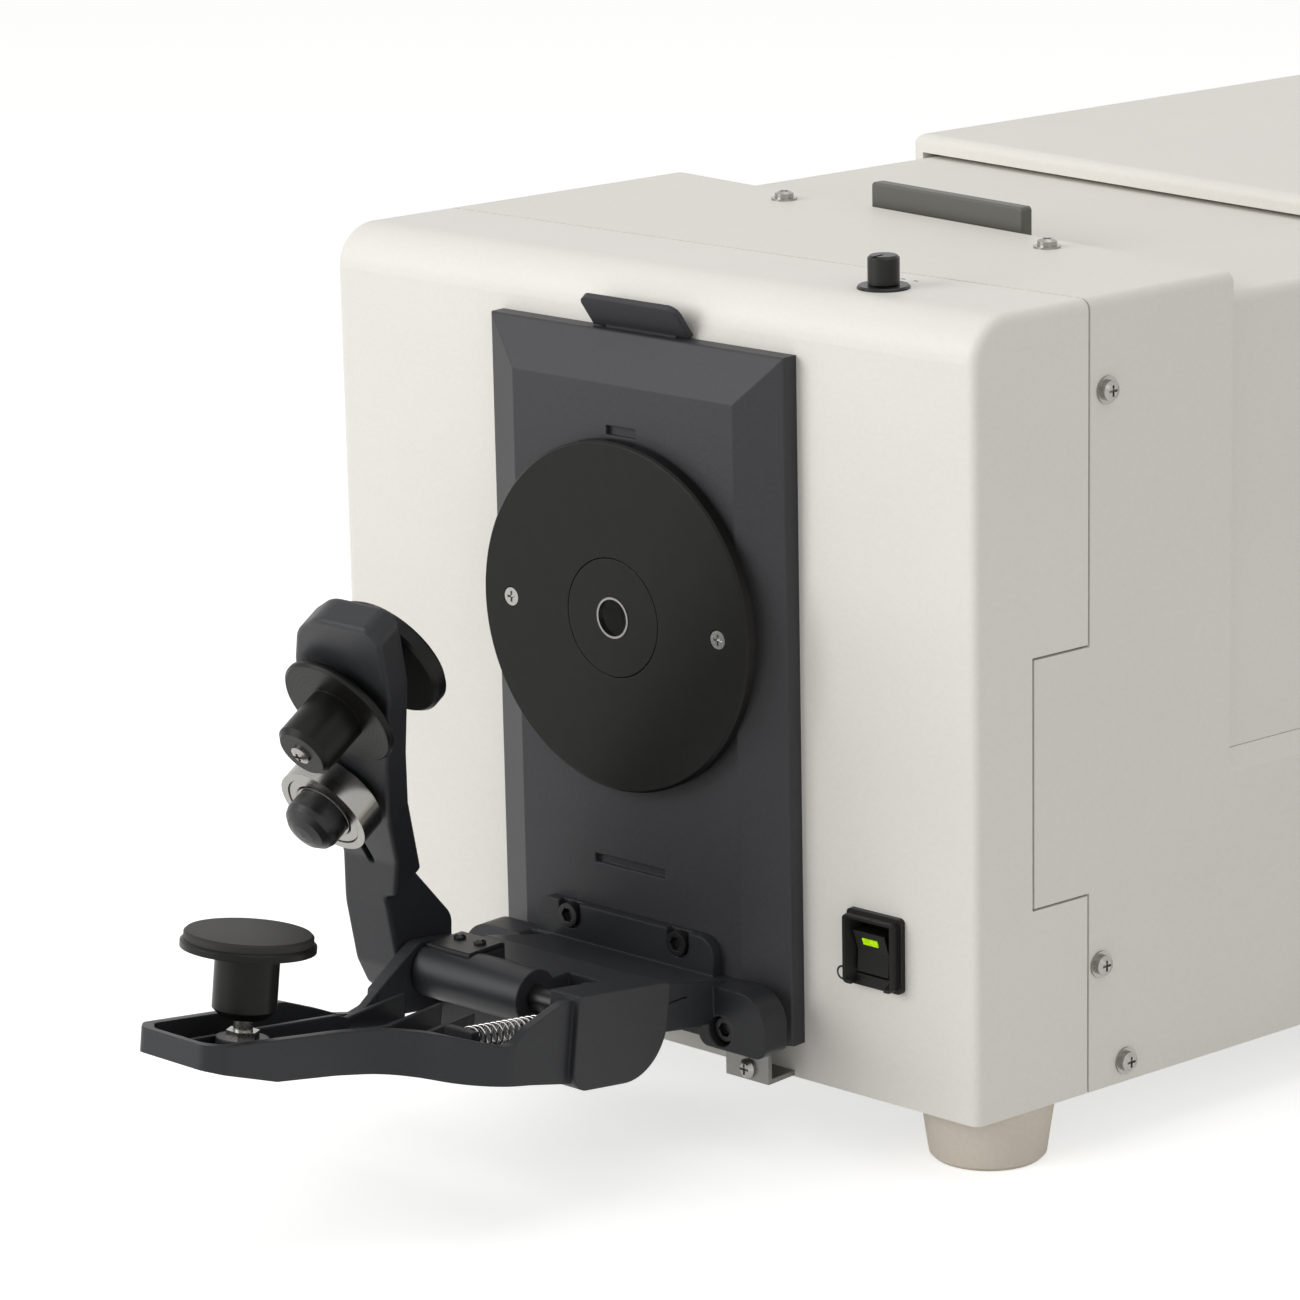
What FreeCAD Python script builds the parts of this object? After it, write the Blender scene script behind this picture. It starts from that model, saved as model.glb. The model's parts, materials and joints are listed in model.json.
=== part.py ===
import FreeCAD, Part
import math
import os

vec = FreeCAD.Vector

# Bench spectrophotometer, millimetres and degrees, Z up.
# The body runs along Y with the sample port towards -Y.
# The front face is turned in plan by the angle between port normal and optical axis.
# Front pieces are drawn as (across, forward, height) about the aperture, then turned.

# Whole instrument
body_width = 271.0
body_height = 274.0
body_depth = 500.0
foot_height = 20.0
front_turn = 8.0
port_offset = 4.0
port_height = 165.5

# Fits shared by all pieces
overrun = 6.0
fit_gap = 0.3
run_gap = 0.05
seam_gap = 0.8
tiny = 0.001
full_turn = 360.0
half_turn = 180.0
quarter_turn = 90.0

# Covers
shell_wall = 3.0
edge_round = 3.5
front_roll = 14.0
seam_setback = 47.0
tongue_setback = 23.5
tongue_bottom = 85.0
tongue_top = 166.0
front_section_end = 128.5
rear_cover_start = 242.0
ledge_top = 119.0
ledge_rise = 6.5
ledge_flange = 7.0
lip_length = 6.0

# Sliding lid and its handle
lid_inset = 4.5
lid_drop = 8.0
lid_wall = 2.5
lid_overlap = 10.0
lid_gap = 0.5
lid_lip_gap = 1.5
lid_slide_gap = 0.2
handle_length = 73.0
handle_thickness = 5.0
handle_height = 15.5
handle_setback = 3.0
handle_round = 1.4
handle_edge = 0.8

# Base, feet and rear panel
base_thickness = 4.0
panel_thickness = 2.0
panel_inset = 2.0
foot_top_radius = 21.5
foot_bottom_radius = 18.7
foot_edge = 1.2
foot_side_inset = 22.0
foot_front_inset = 28.0
foot_rear_inset = 28.0

# Cover screws
screw_shank = 1.6
screw_head = 3.2
screw_head_height = 2.2
screw_crown_share = 0.6
screw_washer = 4.4
screw_washer_height = 0.7
screw_slot_length = 3.6
screw_slot_width = 0.8
screw_slot_depth = 1.2
side_screw_setbacks = (7.0, 5.0, 16.0)
side_screw_drop = 29.0
side_screw_low = 61.5
side_screw_foot = 27.0
top_screw_inset = 71.5
top_screw_from_end = 11.3
panel_screw_inset = 14.5
panel_screw_low = 40.0
panel_screw_drop = 24.0

# Target plate
plate_half = 62.5
plate_bottom = 32.5
plate_top_drop = 19.0
plate_wall = 5.8
plate_plateau = 12.6
plate_bevel = 15.5
plate_round = 0.8
small_slot_width = 12.6
small_slot_height = 224.6
long_slot_width = 30.7
long_slot_height = 82.0
slot_tall = 3.0
slot_depth = 1.6

# Mask and aperture
mask_radius = 57.0
mask_front = 18.3
mask_edge = 0.8
mask_step = 1.6
mask_step_inset = 1.8
mask_ring_radius = 19.2
mask_ring_seat = 1.8
mask_ring_wall = 2.4
aperture_radius = 6.0
aperture_wall = 0.35
aperture_proud = 0.25
mask_screw_across = 44.6
mask_screw_radius = 3.0
mask_screw_height = 1.8
mask_screw_slot_depth = 0.9

# Release tab
tab_half = 20.5
tab_thick = 2.0
tab_lean = 36.0
tab_length = 12.5
tab_round = 3.5
tab_stem_half = 15.0
tab_stem_depth = 24.0
tab_back = 0.5
tab_pocket_gap = 0.4

# Clamp bracket
hinge_forward = 72.0
hinge_height = 56.0
shaft_radius = 4.0
shaft_inset = 3.0
shaft_hub_inset = 0.6
barrel_radius = 9.0
barrel_left = -32.0
barrel_right = 14.0
apron_setback = 2.0
apron_thick = 4.0
lug_left = 34.0
lug_right = 44.5
flange_half = 38.75
flange_top = 66.0
flange_thick = 4.0
flange_round = 6.0
flange_screw_across = 23.8
flange_screw_height = 61.8
flange_slot_radius = 4.6
flange_slot_depth = 2.2
bracket_base_half = 66.0
bracket_base_top = 53.5
bracket_base_bottom = 33.0
bracket_base_thick = 4.4
ear_inner = 38.0
ear_thick = 10.5
ear_round = 4.0
ear_crown = 11.0
ear_screw_across = 47.2
ear_screw_height = 39.0
ear_pocket_radius = 5.0
ear_pocket_depth = 5.5
shelf_top = 60.5
shelf_back_top = 52.5
shelf_knee = 46.0
shelf_thick = 7.0
shelf_web_drop = 14.0
shelf_web_thick = 5.0
shelf_window_start = 57.0
bracket_screw_head = 4.0
bracket_screw_head_height = 3.4
bracket_screw_socket = 2.2
bracket_screw_socket_depth = 1.8

# Strap over the barrel
strap_left = -31.0
strap_right = -12.0
strap_back = 59.0
strap_front = 75.0
strap_seat = 64.0
strap_thick = 1.6
strap_screw_forward = 65.0
strap_screw_radius = 2.0
strap_screw_height = 1.4
strap_screw_inset = 5.0

# Lower tabs under the bracket
low_tab_inner = 40.0
low_tab_outer = 58.0
low_tab_thick = 1.6
low_tab_bottom = 20.5
low_screw_across = 49.5
low_screw_height = 24.5

# Lever, drawn flat with the hinge at the origin and then raised
lever_rise = 8.0
lever_reach = 141.0
cheek_outer = 57.0
cheek_inner = 45.0
left_cheek_outer = 37.5
left_cheek_inner = 32.7
left_cheek_top = 9.0
left_cheek_flat = 6.0
left_cheek_foot = 5.0
cheek_top = 12.5
cheek_bottom = 17.5
cheek_back = 14.0
cheek_front = 27.0
cheek_round = 18.0
cheek_front_round = 6.0
cheek_top_round = 2.0
lever_wall = 2.8
lever_floor = 2.5
tray_start = 20.0
rim_height = 2.5
boss_height = -1.5
tray_depth = 18.0
lever_lean_share = 0.68
lever_right_shares = ((0.0, 0.965), (0.266, 0.93), (0.365, 0.82), (0.417, 0.575), (0.488, 0.43),
                      (0.603, 0.37), (0.959, 0.316), (1.0, 0.235))
lever_right_round_shares = (0.0, 0.16, 0.16, 0.16, 0.14, 0.16, 0.03, 0.03)
lever_left_shares = ((0.0, 0.97), (0.13, 0.94), (0.215, 0.86), (0.331, 0.66), (0.554, 0.533),
                     (0.959, 0.48), (1.0, 0.36))
lever_left_round_shares = (0.0, 0.16, 0.16, 0.16, 0.16, 0.03, 0.03)
lever_under_shares = ((0.0, 0.88), (0.184, 0.765), (0.452, 0.66), (0.79, 0.59), (1.0, 0.29))
lever_right_rim_shares = ((1.0, 0.184), (0.383, 0.14), (0.26, -0.1), (0.207, 0.32), (0.091, 0.84), (0.0, 0.92))
lever_right_rim_round_shares = (0.0, 0.1, 0.04, 0.1, 0.1, 0.0)
lever_left_rim_shares = ((1.0, 0.184), (0.475, 0.09), (0.324, -0.32), (0.184, -0.76), (0.11, -0.88),
                         (0.066, -0.76), (0.0, -0.24))
lever_left_rim_round_shares = (0.0, 0.1, 0.1, 0.1, 0.03, 0.03, 0.0)
rib_thick = 1.8
rib_height = 7.0
rib_shares = ((0.42, -0.5, 0.42, 0.5), (0.42, -0.16, 0.98, -0.16), (0.42, 0.16, 0.98, 0.16))
fin_shares = (-0.42, -0.14, 0.11)
fin_length = 38.0
fin_high_drop = 4.0
fin_low_drop = 11.0
pad_from_tip = 28.8
pad_boss_radius = 8.0

# Lever pad, along its stud
stud_radius = 3.0
stud_below = 5.5
stud_above = 13.5
nut_flats = 9.0
nut_height = 2.2
pad_stand_off = 6.4
pad_stem_radius = 9.8
pad_stem_length = 20.7
pad_stem_chamfer = 2.5
pad_bore_depth = 10.6
pad_flange_radius = 20.5
pad_flange_thick = 2.5
pad_face_radius = 19.5
pad_face_thick = 2.6
pad_edge = 0.7

# Clamp spring, a coil along the lever
spring_across = 20.0
spring_start = 5.0
spring_end = 37.0
spring_height = -7.1
spring_radius = 3.3
spring_wire = 0.8
spring_turns = 12
spring_post_length = 5.0
spring_wall_thick = 3.0
spring_wall_half = 6.0
spring_riser_back = 50.0
spring_riser_half = 5.0

# Swing arm, drawn upright about the hinge and then leaned forward
arm_lean = 31.5
arm_close_lean = 11.7
arm_closed_gap = 0.6
arm_front = -6.0
arm_thick = 10.5
arm_edge = 1.5
arm_height = 155.5
arm_clear = 28.0
arm_hub_left = -58.6
arm_hub_right = -38.5
arm_slab_shares = ((-0.573, 0.19), (-0.35, 0.401), (-0.119, 0.565), (0.229, 0.789), (0.427, 0.965),
                   (0.375, 1.0), (0.0, 1.0), (-0.205, 0.952), (-0.362, 0.86), (-0.908, 0.281), (-1.0, 0.154))
arm_slab_round_shares = (0.0, 0.06, 0.09, 0.86, 0.86, 0.86, 0.14, 0.11, 0.43, 0.57, 0.57, 0.57, 0.57, 0.0)
arm_leg_top_share = 1.5
arm_leg_shares = ((-0.025, 0.875), (0.243, 0.16), (0.279, -0.25), (0.0, -0.46), (-0.5, -0.3), (-0.75, 0.07))
arm_leg_round_shares = (0.3, 0.3, 0.3, 0.15, 0.2, 0.2, 0.25, 0.3)
arm_slot_half = 4.0
arm_slot_radius = 1.6
arm_slot_rise = 46.0
arm_slot_across = -40.6
arm_pad_across = -6.0
arm_pad_rise = 119.8
arm_pad_radius = 21.0
arm_pad_thick = 6.0
arm_pad_edge = 1.2
arm_neck_radius = 3.0
arm_ball_ahead = -14.5
arm_ball_radius = 5.0
arm_ball_gap = 0.15
knob_disc_radius = 20.0
knob_disc_thick = 2.7
knob_disc_edge = 0.8
knob_neck_radius = 7.0
knob_neck_length = 2.8
knob_stem_radius = 9.5
knob_stem_length = 17.7
knob_stem_chamfer = 1.5
knob_screw_radius = 3.2
knob_screw_height = 1.6
knob_screw_slot = 1.0

# Ball bearing on the arm
bearing_across = -33.0
bearing_rise = 76.0
bearing_outer = 16.0
bearing_outer_race = 13.5
bearing_inner_race = 9.9
bearing_bore = 7.5
bearing_width = 9.0
bearing_ball = 1.7
bearing_ball_count = 12
bearing_seat_height = 2.0
bearing_seat_radius = 9.0
bearing_pin_depth = 4.0
cap_radius = 9.3
cap_shoulder = 0.8
cap_skirt = 5.0
cap_dome = 5.0
cap_dome_shares = ((1.0, 0.0), (0.92, 0.38), (0.71, 0.71), (0.38, 0.92), (0.0, 1.0))

# Power switch
switch_inset = 38.3
switch_height = 69.8
bezel_width = 22.0
bezel_tall = 24.5
bezel_flange = 2.0
bezel_guard = 5.5
bezel_lip = 0.8
bezel_round = 1.5
bezel_body_width = 19.0
bezel_body_tall = 21.0
bezel_body_depth = 14.0
rocker_width = 12.6
rocker_half = 7.0
rocker_side_gap = 0.4
rocker_end_gap = 0.6
rocker_front = 3.6
rocker_dish = 1.4
rocker_back = 5.0
rocker_tilt = 8.0
lamp_width = 6.0
lamp_low_share = 0.36
lamp_high_share = 0.68
lamp_proud = 0.4

# Selector knob
knob_inset = 53.9
knob_setback = 24.0
knob_radius = 5.0
knob_height = 9.0
knob_edge = 0.8
knob_flange_radius = 8.3
knob_flange_thick = 1.0
spindle_radius = 2.9
spindle_depth = 10.0
selector_half = 10.0
selector_depth = 16.0
pointer_width = 1.2
pointer_depth = 0.5

# Optics and electronics inside
sphere_radius = 56.0
sphere_wall = 4.0
sphere_depth = 65.0
port_tube_radius = 26.0
port_bore_radius = 22.0
exit_bore_radius = 14.0
lamp_bore_radius = 10.0
stand_half = 22.0
stand_lap = 8.0
lamp_house_radius = 16.0
lamp_house_gap = 13.0
chamber_wall = 3.0
chamber_length = 107.5
chamber_floor_thick = 2.5
chamber_side_gap = 1.5
chamber_top_gap = 1.5
window_radius = 20.0
barrel_lens_radius = 24.0
barrel_lens_bore = 19.0
barrel_lens_lap = 4.0
box_start = 300.0
box_length = 120.0
box_half = 76.0
box_drop = 39.0
box_wall = 4.0
grating_half = 15.0
grating_thick = 15.0
grating_back = 12.0
grating_top = 185.0
detector_thick = 2.0
detector_inset = 14.0
detector_start = 20.0
detector_length = 70.0
detector_height = 120.0
board_inset = 32.5
board_start = 136.0
board_length = 148.0
board_thick = 1.6
board_stand_off = 10.0
board_post_radius = 4.0
board_post_inset = 8.0
supply_side_gap = 8.5
supply_width = 34.0
supply_start = 290.0
supply_length = 150.0
supply_height = 66.0

# Fan at the rear panel
fan_inset = 40.5
fan_drop = 84.0
fan_size = 60.0
fan_depth = 25.0
fan_round = 4.0
fan_duct = 28.5
fan_motor_radius = 14.0
fan_motor_depth = 5.0
fan_strut = 4.0
fan_hub_radius = 13.5
fan_hub_depth = 16.0
fan_tip_radius = 27.6
fan_blades = 7
fan_blade_thick = 1.4
fan_blade_pitch = 50.0
fan_blade_depth = 14.0
fan_pin_radius = 2.0
fan_end_gap = 0.6
grille_slots = 9
grille_slot = 3.2
grille_pitch = 6.0
grille_radius = 27.0

# Rear connectors
inlet_inset = 48.5
inlet_height = 62.0
inlet_width = 48.0
inlet_tall = 28.0
inlet_flange = 2.5
inlet_body_width = 28.0
inlet_body_tall = 20.5
inlet_body_depth = 18.0
inlet_well_width = 24.0
inlet_well_tall = 16.5
inlet_well_depth = 15.0
inlet_pin_width = 2.0
inlet_pin_tall = 4.0
inlet_pin_length = 9.0
inlet_pin_pitch = 7.0
inlet_pin_drop = 2.5
port_across = 30.0
port_level = 58.0
port_width = 12.5
port_tall = 11.0
port_depth = 14.0
port_proud = 1.0
port_well_width = 9.0
port_well_tall = 8.0
port_well_depth = 9.0
port_tongue_width = 5.5
port_tongue_tall = 3.0
port_tongue_length = 4.0

half_width = body_width / 2
turn_slope = math.tan(math.radians(front_turn))
turn_cos = math.cos(math.radians(front_turn))
turn_sin = math.sin(math.radians(front_turn))
front_lead = half_width * turn_slope
rear_line = body_depth - front_lead
lid_half = half_width - lid_inset
lid_top = body_height - lid_drop
lid_end = rear_cover_start + lid_overlap
inner_half = half_width - shell_wall
base_top = foot_height + base_thickness
panel_front = rear_line - panel_inset - panel_thickness
panel_rear = rear_line - panel_inset
optic_across = port_offset * turn_cos + mask_front * turn_sin
side_screw_heights = (body_height - side_screw_drop, side_screw_low, side_screw_foot)
top_screw_across = half_width - top_screw_inset
panel_screw_across = inner_half - panel_screw_inset
panel_screw_high = body_height - panel_screw_drop
plate_top = body_height - plate_top_drop
low_tab_top = plate_bottom - fit_gap
switch_across = half_width - switch_inset
knob_across = half_width - knob_inset
lamp_house_top = body_height - shell_wall - lamp_house_gap
box_top = body_height - box_drop
board_half = inner_half - board_inset
supply_inner = inner_half - supply_side_gap - supply_width
fan_across = fan_inset - inner_half
fan_height = body_height - fan_drop
inlet_across = inner_half - inlet_inset
shaft_left = arm_hub_left + shaft_hub_inset
shaft_right = cheek_outer - shaft_inset
tray_length = lever_reach - tray_start
pad_axis = lever_reach - pad_from_tip
close_cos = math.cos(math.radians(arm_close_lean))
close_sin = math.sin(math.radians(arm_close_lean))
arm_ball_stop = hinge_forward + arm_ball_ahead * close_cos - arm_pad_rise * close_sin
arm_pad_reach = arm_ball_stop - mask_front - arm_closed_gap
up = vec(0, 0, 1)
forward = vec(0, -1, 0)
rearward = vec(0, 1, 0)
across = vec(1, 0, 0)
origin = vec(0, 0, 0)


def box(left, right, near, far, low, high):
    """Block between two planes in each direction."""
    return Part.makeBox(right - left, far - near, high - low, vec(left, near, low))


def block(left, right, back, front, low, high):
    """Block in front coordinates, with depth counted forward."""
    return box(left, right, -front, -back, low, high)


def rod(base, direction, radius, length):
    """Round bar from a base point."""
    return Part.makeCylinder(radius, length, base, direction)


def spot(side, ahead, height):
    """Point in front coordinates."""
    return vec(side, -ahead, height)


def rounded_wire(points, rounds, lift):
    """Closed outline with an arc at every corner that has a radius."""
    corners = []
    count = len(points)
    for index in range(count):
        here = lift(*points[index])
        before = lift(*points[index - 1]) - here
        after = lift(*points[(index + 1) % count]) - here
        radius = rounds[index]
        if radius == 0:
            corners.append((here, here, here))
            continue
        before.normalize()
        after.normalize()
        half_angle = before.getAngle(after) / 2
        middle = before + after
        middle.normalize()
        cut = radius / math.tan(half_angle)
        crest = radius / math.sin(half_angle) - radius
        corners.append((here + before * cut, here + middle * crest, here + after * cut))
    edges = []
    for index in range(count):
        start, crest, end = corners[index]
        follow = corners[(index + 1) % count][0]
        if start.distanceToPoint(end) > tiny:
            edges.append(Part.Arc(start, crest, end).toShape())
        if end.distanceToPoint(follow) > tiny:
            edges.append(Part.LineSegment(end, follow).toShape())
    return Part.Wire(edges)


def sharp(points):
    """No rounding at any corner."""
    return [0] * len(points)


def plan_prism(points, rounds, low, high):
    """Prism from (across, forward) points between two heights."""
    wire = rounded_wire(points, rounds, lambda side, ahead: spot(side, ahead, low))
    return Part.Face(wire).extrude(vec(0, 0, high - low))


def side_prism(points, rounds, left, right):
    """Prism from (forward, height) points between two planes across."""
    wire = rounded_wire(points, rounds, lambda ahead, height: spot(left, ahead, height))
    return Part.Face(wire).extrude(vec(right - left, 0, 0))


def face_prism(points, rounds, back, front):
    """Prism from (across, height) points between two depths."""
    wire = rounded_wire(points, rounds, lambda side, height: spot(side, back, height))
    return Part.Face(wire).extrude(vec(0, back - front, 0))


def flared(near_points, near_ahead, far_points, far_ahead):
    """Solid between two outlines at two places ahead of the front."""
    wires = []
    for points, ahead in ((near_points, near_ahead), (far_points, far_ahead)):
        corners = [spot(side, ahead, height) for side, height in points]
        wires.append(Part.makePolygon(corners + corners[:1]))
    return Part.makeLoft(wires, True, True)


def rectangle(left, right, low, high):
    """Four corners, counter-clockwise."""
    return [(left, low), (right, low), (right, high), (left, high)]


def turned(profile, base, direction):
    """Turned solid from (radius, along) points."""
    points = [vec(radius, 0, along) for radius, along in profile]
    wire = Part.makePolygon(points + [points[0]])
    solid = Part.Face(wire).revolve(origin, up, full_turn)
    return moved(solid, base, direction)


def moved(shape, base, direction):
    """Copy of a shape drawn along Z, put on a base point and direction."""
    copy = shape.copy()
    copy.Placement = FreeCAD.Placement(base, FreeCAD.Rotation(up, direction))
    return copy


def hexagon(flats, base, direction, length):
    """Six-sided bar."""
    corner = flats / math.sqrt(3)
    points = []
    for index in range(6):
        angle = math.radians(full_turn * index / 6)
        points.append(vec(corner * math.cos(angle), corner * math.sin(angle), 0))
    face = Part.Face(Part.makePolygon(points + [points[0]]))
    return moved(face.extrude(vec(0, 0, length)), base, direction)


def joined(shapes):
    """One solid from shapes that meet."""
    whole = shapes[0].fuse(shapes[1:])
    return whole.removeSplitter()


def group(shapes):
    """Several solids of one node."""
    return Part.makeCompound(shapes)


def to_front(shape):
    """Aperture coordinates to the body."""
    copy = shape.copy()
    copy.translate(vec(port_offset, 0, 0))
    copy.rotate(origin, up, front_turn)
    return copy


def to_face(shape):
    """Face-centre coordinates to the body."""
    copy = shape.copy()
    copy.rotate(origin, up, front_turn)
    return copy


def raise_lever(shape):
    """Lever coordinates to the rest pose in aperture coordinates."""
    copy = shape.copy()
    copy.translate(spot(0, hinge_forward, hinge_height))
    copy.rotate(spot(0, hinge_forward, hinge_height), across, -lever_rise)
    return copy


def arm_spot(side, ahead, height):
    """Point of the upright arm, counted from the hinge."""
    return spot(side, hinge_forward + ahead, hinge_height + height)


def lean_arm(shape):
    """Upright arm to the rest pose in aperture coordinates."""
    copy = shape.copy()
    copy.rotate(arm_spot(0, 0, 0), across, arm_lean)
    return copy


def edges_where(shape, rule):
    """Edges whose every end point meets a rule."""
    found = []
    for edge in shape.Edges:
        if all(rule(vertex.Point) for vertex in edge.Vertexes):
            found.append(edge)
    return found


def behind_face(point):
    """Distance along Y behind the turned face."""
    return point.y - point.x * turn_slope


def near(value, target):
    """Equal within the drawing tolerance."""
    return abs(value - target) < tiny


def slice_prism(inset, front, rear, low, high):
    """Slice of the body with its front and rear parallel to the turned face."""
    side = half_width - inset
    lead = side * turn_slope
    points = [(-side, lead - front), (side, -lead - front), (side, -lead - rear), (-side, lead - rear)]
    return plan_prism(points, sharp(points), low, high)


def tongue_space(side, slack):
    """Space of one side tongue, shrunk by a slack."""
    start = side * front_lead + tongue_setback + slack
    end = side * front_lead + seam_setback + seam_gap + shell_wall
    left = min(side * inner_half, side * half_width)
    return box(left, left + shell_wall, start, end, tongue_bottom + slack, tongue_top - slack)


def cover_screw_places():
    """Base points and outward directions of the cover screws."""
    places = []
    for side in (-1, 1):
        for setback, height in zip(side_screw_setbacks, side_screw_heights):
            depth = side * front_lead + seam_setback + seam_gap + setback
            places.append((vec(side * half_width, depth, height), vec(side, 0, 0)))
        places.append((vec(side * top_screw_across, front_section_end - top_screw_from_end, body_height), up))
        for height in (panel_screw_low, panel_screw_high):
            places.append((vec(side * panel_screw_across, panel_rear, height), rearward))
    return places


def screw_holes():
    """Clearance holes of the cover screws."""
    holes = []
    for base, direction in cover_screw_places():
        start = base + direction * overrun
        holes.append(rod(start, direction * -1, screw_shank + fit_gap, overrun + shell_wall + tiny))
    return holes


def front_shell():
    """Front cover with the rolled top edge."""
    outer = slice_prism(0, 0, seam_setback, foot_height, body_height)
    roll = edges_where(outer, lambda p: near(p.z, body_height) and near(behind_face(p), 0))
    outer = outer.makeFillet(front_roll, roll)
    rims = []
    for side in (-1, 1):
        for edge in edges_where(outer, lambda p: near(p.x, side * half_width)):
            points = [vertex.Point for vertex in edge.Vertexes]
            on_seam = all(near(behind_face(p), seam_setback) for p in points)
            on_floor = all(near(p.z, foot_height) for p in points)
            if not on_seam and not on_floor:
                rims.append(edge)
    outer = outer.makeFillet(edge_round, rims)
    front_inside = shell_wall / turn_cos
    inner = slice_prism(shell_wall, front_inside, seam_setback + overrun, foot_height - overrun,
                        body_height - shell_wall)
    rule = lambda p: near(p.z, body_height - shell_wall) and near(behind_face(p), front_inside)
    inner = inner.makeFillet(front_roll - shell_wall, edges_where(inner, rule))
    cuts = [inner]
    for side in (-1, 1):
        notch = tongue_space(side, 0)
        cuts.append(notch)
    tube = rod(spot(0, overrun, port_height), rearward, port_tube_radius + fit_gap, overrun * 2 + shell_wall)
    cuts.append(to_front(tube))
    half_body = bezel_body_width / 2 + fit_gap
    tall_body = bezel_body_tall / 2 + fit_gap
    window = block(switch_across - half_body, switch_across + half_body, -shell_wall - overrun, overrun,
                   switch_height - tall_body, switch_height + tall_body)
    cuts.append(to_face(window))
    hole = rod(spot(knob_across, -knob_setback, body_height + overrun), up * -1, spindle_radius + fit_gap,
               overrun + shell_wall + tiny)
    cuts.append(to_face(hole))
    return outer.cut(cuts)


def tub_profile(ledge):
    """Right wall of the lower tub as (across, height) points."""
    inside = lid_half - ledge_flange
    if ledge:
        shoulder = [(half_width, ledge_top - ledge_rise), (lid_half, ledge_top)]
        under = [(lid_half - shell_wall, ledge_top - shell_wall),
                 (inner_half, ledge_top - ledge_rise - shell_wall)]
    else:
        shoulder = [(half_width, ledge_top)]
        under = [(inner_half, ledge_top - shell_wall)]
    start = [(half_width, foot_height)]
    flange = [(inside, ledge_top), (inside, ledge_top - shell_wall)]
    return start + shoulder + flange + under + [(inner_half, foot_height)]


def main_cover():
    """Middle cover, its side tongues and the lower tub walls."""
    start = seam_setback + seam_gap
    lead = half_width * turn_slope
    points = [(-half_width, lead - start), (half_width, -lead - start),
              (half_width, -front_section_end), (-half_width, -front_section_end)]
    outer = plan_prism(points, sharp(points), foot_height, body_height)
    rims = []
    for side in (-1, 1):
        rims += edges_where(outer, lambda p: near(p.x, side * half_width) and near(p.z, body_height))
    outer = outer.makeFillet(edge_round, rims)
    inner = box(-inner_half, inner_half, -overrun, front_section_end + overrun, foot_height - overrun,
                body_height - shell_wall)
    pieces = [outer.cut(inner)]
    for ledge, begin, end in ((True, front_section_end, rear_cover_start), (False, rear_cover_start, rear_line)):
        right = tub_profile(ledge)
        left = [(-side, height) for side, height in right]
        for profile in (right, left):
            pieces.append(face_prism(profile, sharp(profile), -begin, -end))
    for side in (-1, 1):
        pieces.append(tongue_space(side, seam_gap))
    whole = joined(pieces)
    panel_space = box(-inner_half, inner_half, panel_front, rear_line + overrun, foot_height - overrun, body_height)
    return whole.cut([panel_space] + screw_holes())


def rear_cover():
    """Hood behind the chamber, open below and to the rear."""
    outer = box(-half_width, half_width, rear_cover_start, rear_line, ledge_top + fit_gap, body_height)
    rims = []
    for side in (-1, 1):
        rims += edges_where(outer, lambda p: near(p.x, side * half_width) and near(p.z, body_height))
    rims += edges_where(outer, lambda p: near(p.y, rear_cover_start) and near(p.z, body_height))
    outer = outer.makeFillet(edge_round, rims)
    mouth_half = lid_half + lid_gap
    mouth = box(-mouth_half, mouth_half, rear_cover_start - overrun, rear_line, ledge_top - overrun,
                lid_top + lid_lip_gap)
    room = box(-inner_half, inner_half, rear_cover_start + lip_length, rear_line + overrun, ledge_top - overrun,
               body_height - shell_wall)
    return outer.cut([mouth, room])


def chamber_lid():
    """Sliding lid, an inverted trough."""
    begin = front_section_end + lid_gap
    low = ledge_top + lid_slide_gap
    outer = box(-lid_half, lid_half, begin, lid_end, low, lid_top)
    rims = []
    for side in (-1, 1):
        rims += edges_where(outer, lambda p: near(p.x, side * lid_half) and near(p.z, lid_top))
    outer = outer.makeFillet(edge_round, rims)
    inside = lid_half - lid_wall
    inner = box(-inside, inside, begin - overrun, lid_end + overrun, low - overrun, lid_top - lid_wall)
    return outer.cut(inner)


def lid_handle():
    """Bar handle on the front edge of the lid."""
    half = handle_length / 2
    back = front_section_end + lid_gap + handle_setback
    points = rectangle(-half, half, lid_top, lid_top + handle_height)
    bar = face_prism(points, [0, 0, handle_round, handle_round], -back, -back - handle_thickness)
    rims = edges_where(bar, lambda p: p.z > lid_top + tiny and near(p.y, back))
    rims += edges_where(bar, lambda p: p.z > lid_top + tiny and near(p.y, back + handle_thickness))
    return bar.makeFillet(handle_edge, rims)


def base_plate():
    """Floor of the instrument with posts for the main board."""
    side = inner_half - fit_gap
    lead = side * turn_slope
    front = (shell_wall + fit_gap) / turn_cos
    points = [(-side, lead - front), (side, -lead - front), (side, -panel_front), (-side, -panel_front)]
    pieces = [plan_prism(points, sharp(points), foot_height, base_top)]
    for side in (-1, 1):
        for depth in (board_start + board_post_inset, board_start + board_length - board_post_inset):
            base = vec(side * (board_half - board_post_inset), depth, foot_height)
            pieces.append(rod(base, up, board_post_radius, base_thickness + board_stand_off))
    return joined(pieces)


def feet():
    """Four conical feet."""
    profile = [(0, 0), (foot_bottom_radius - foot_edge, 0), (foot_bottom_radius, foot_edge),
               (foot_top_radius, foot_height), (0, foot_height)]
    shapes = []
    for side in (-1, 1):
        place = half_width - foot_side_inset
        ahead = side * place * turn_slope + foot_front_inset
        shapes.append(turned(profile, vec(side * place, ahead, 0), up))
        shapes.append(turned(profile, vec(side * place, rear_line - foot_rear_inset, 0), up))
    return group(shapes)


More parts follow.
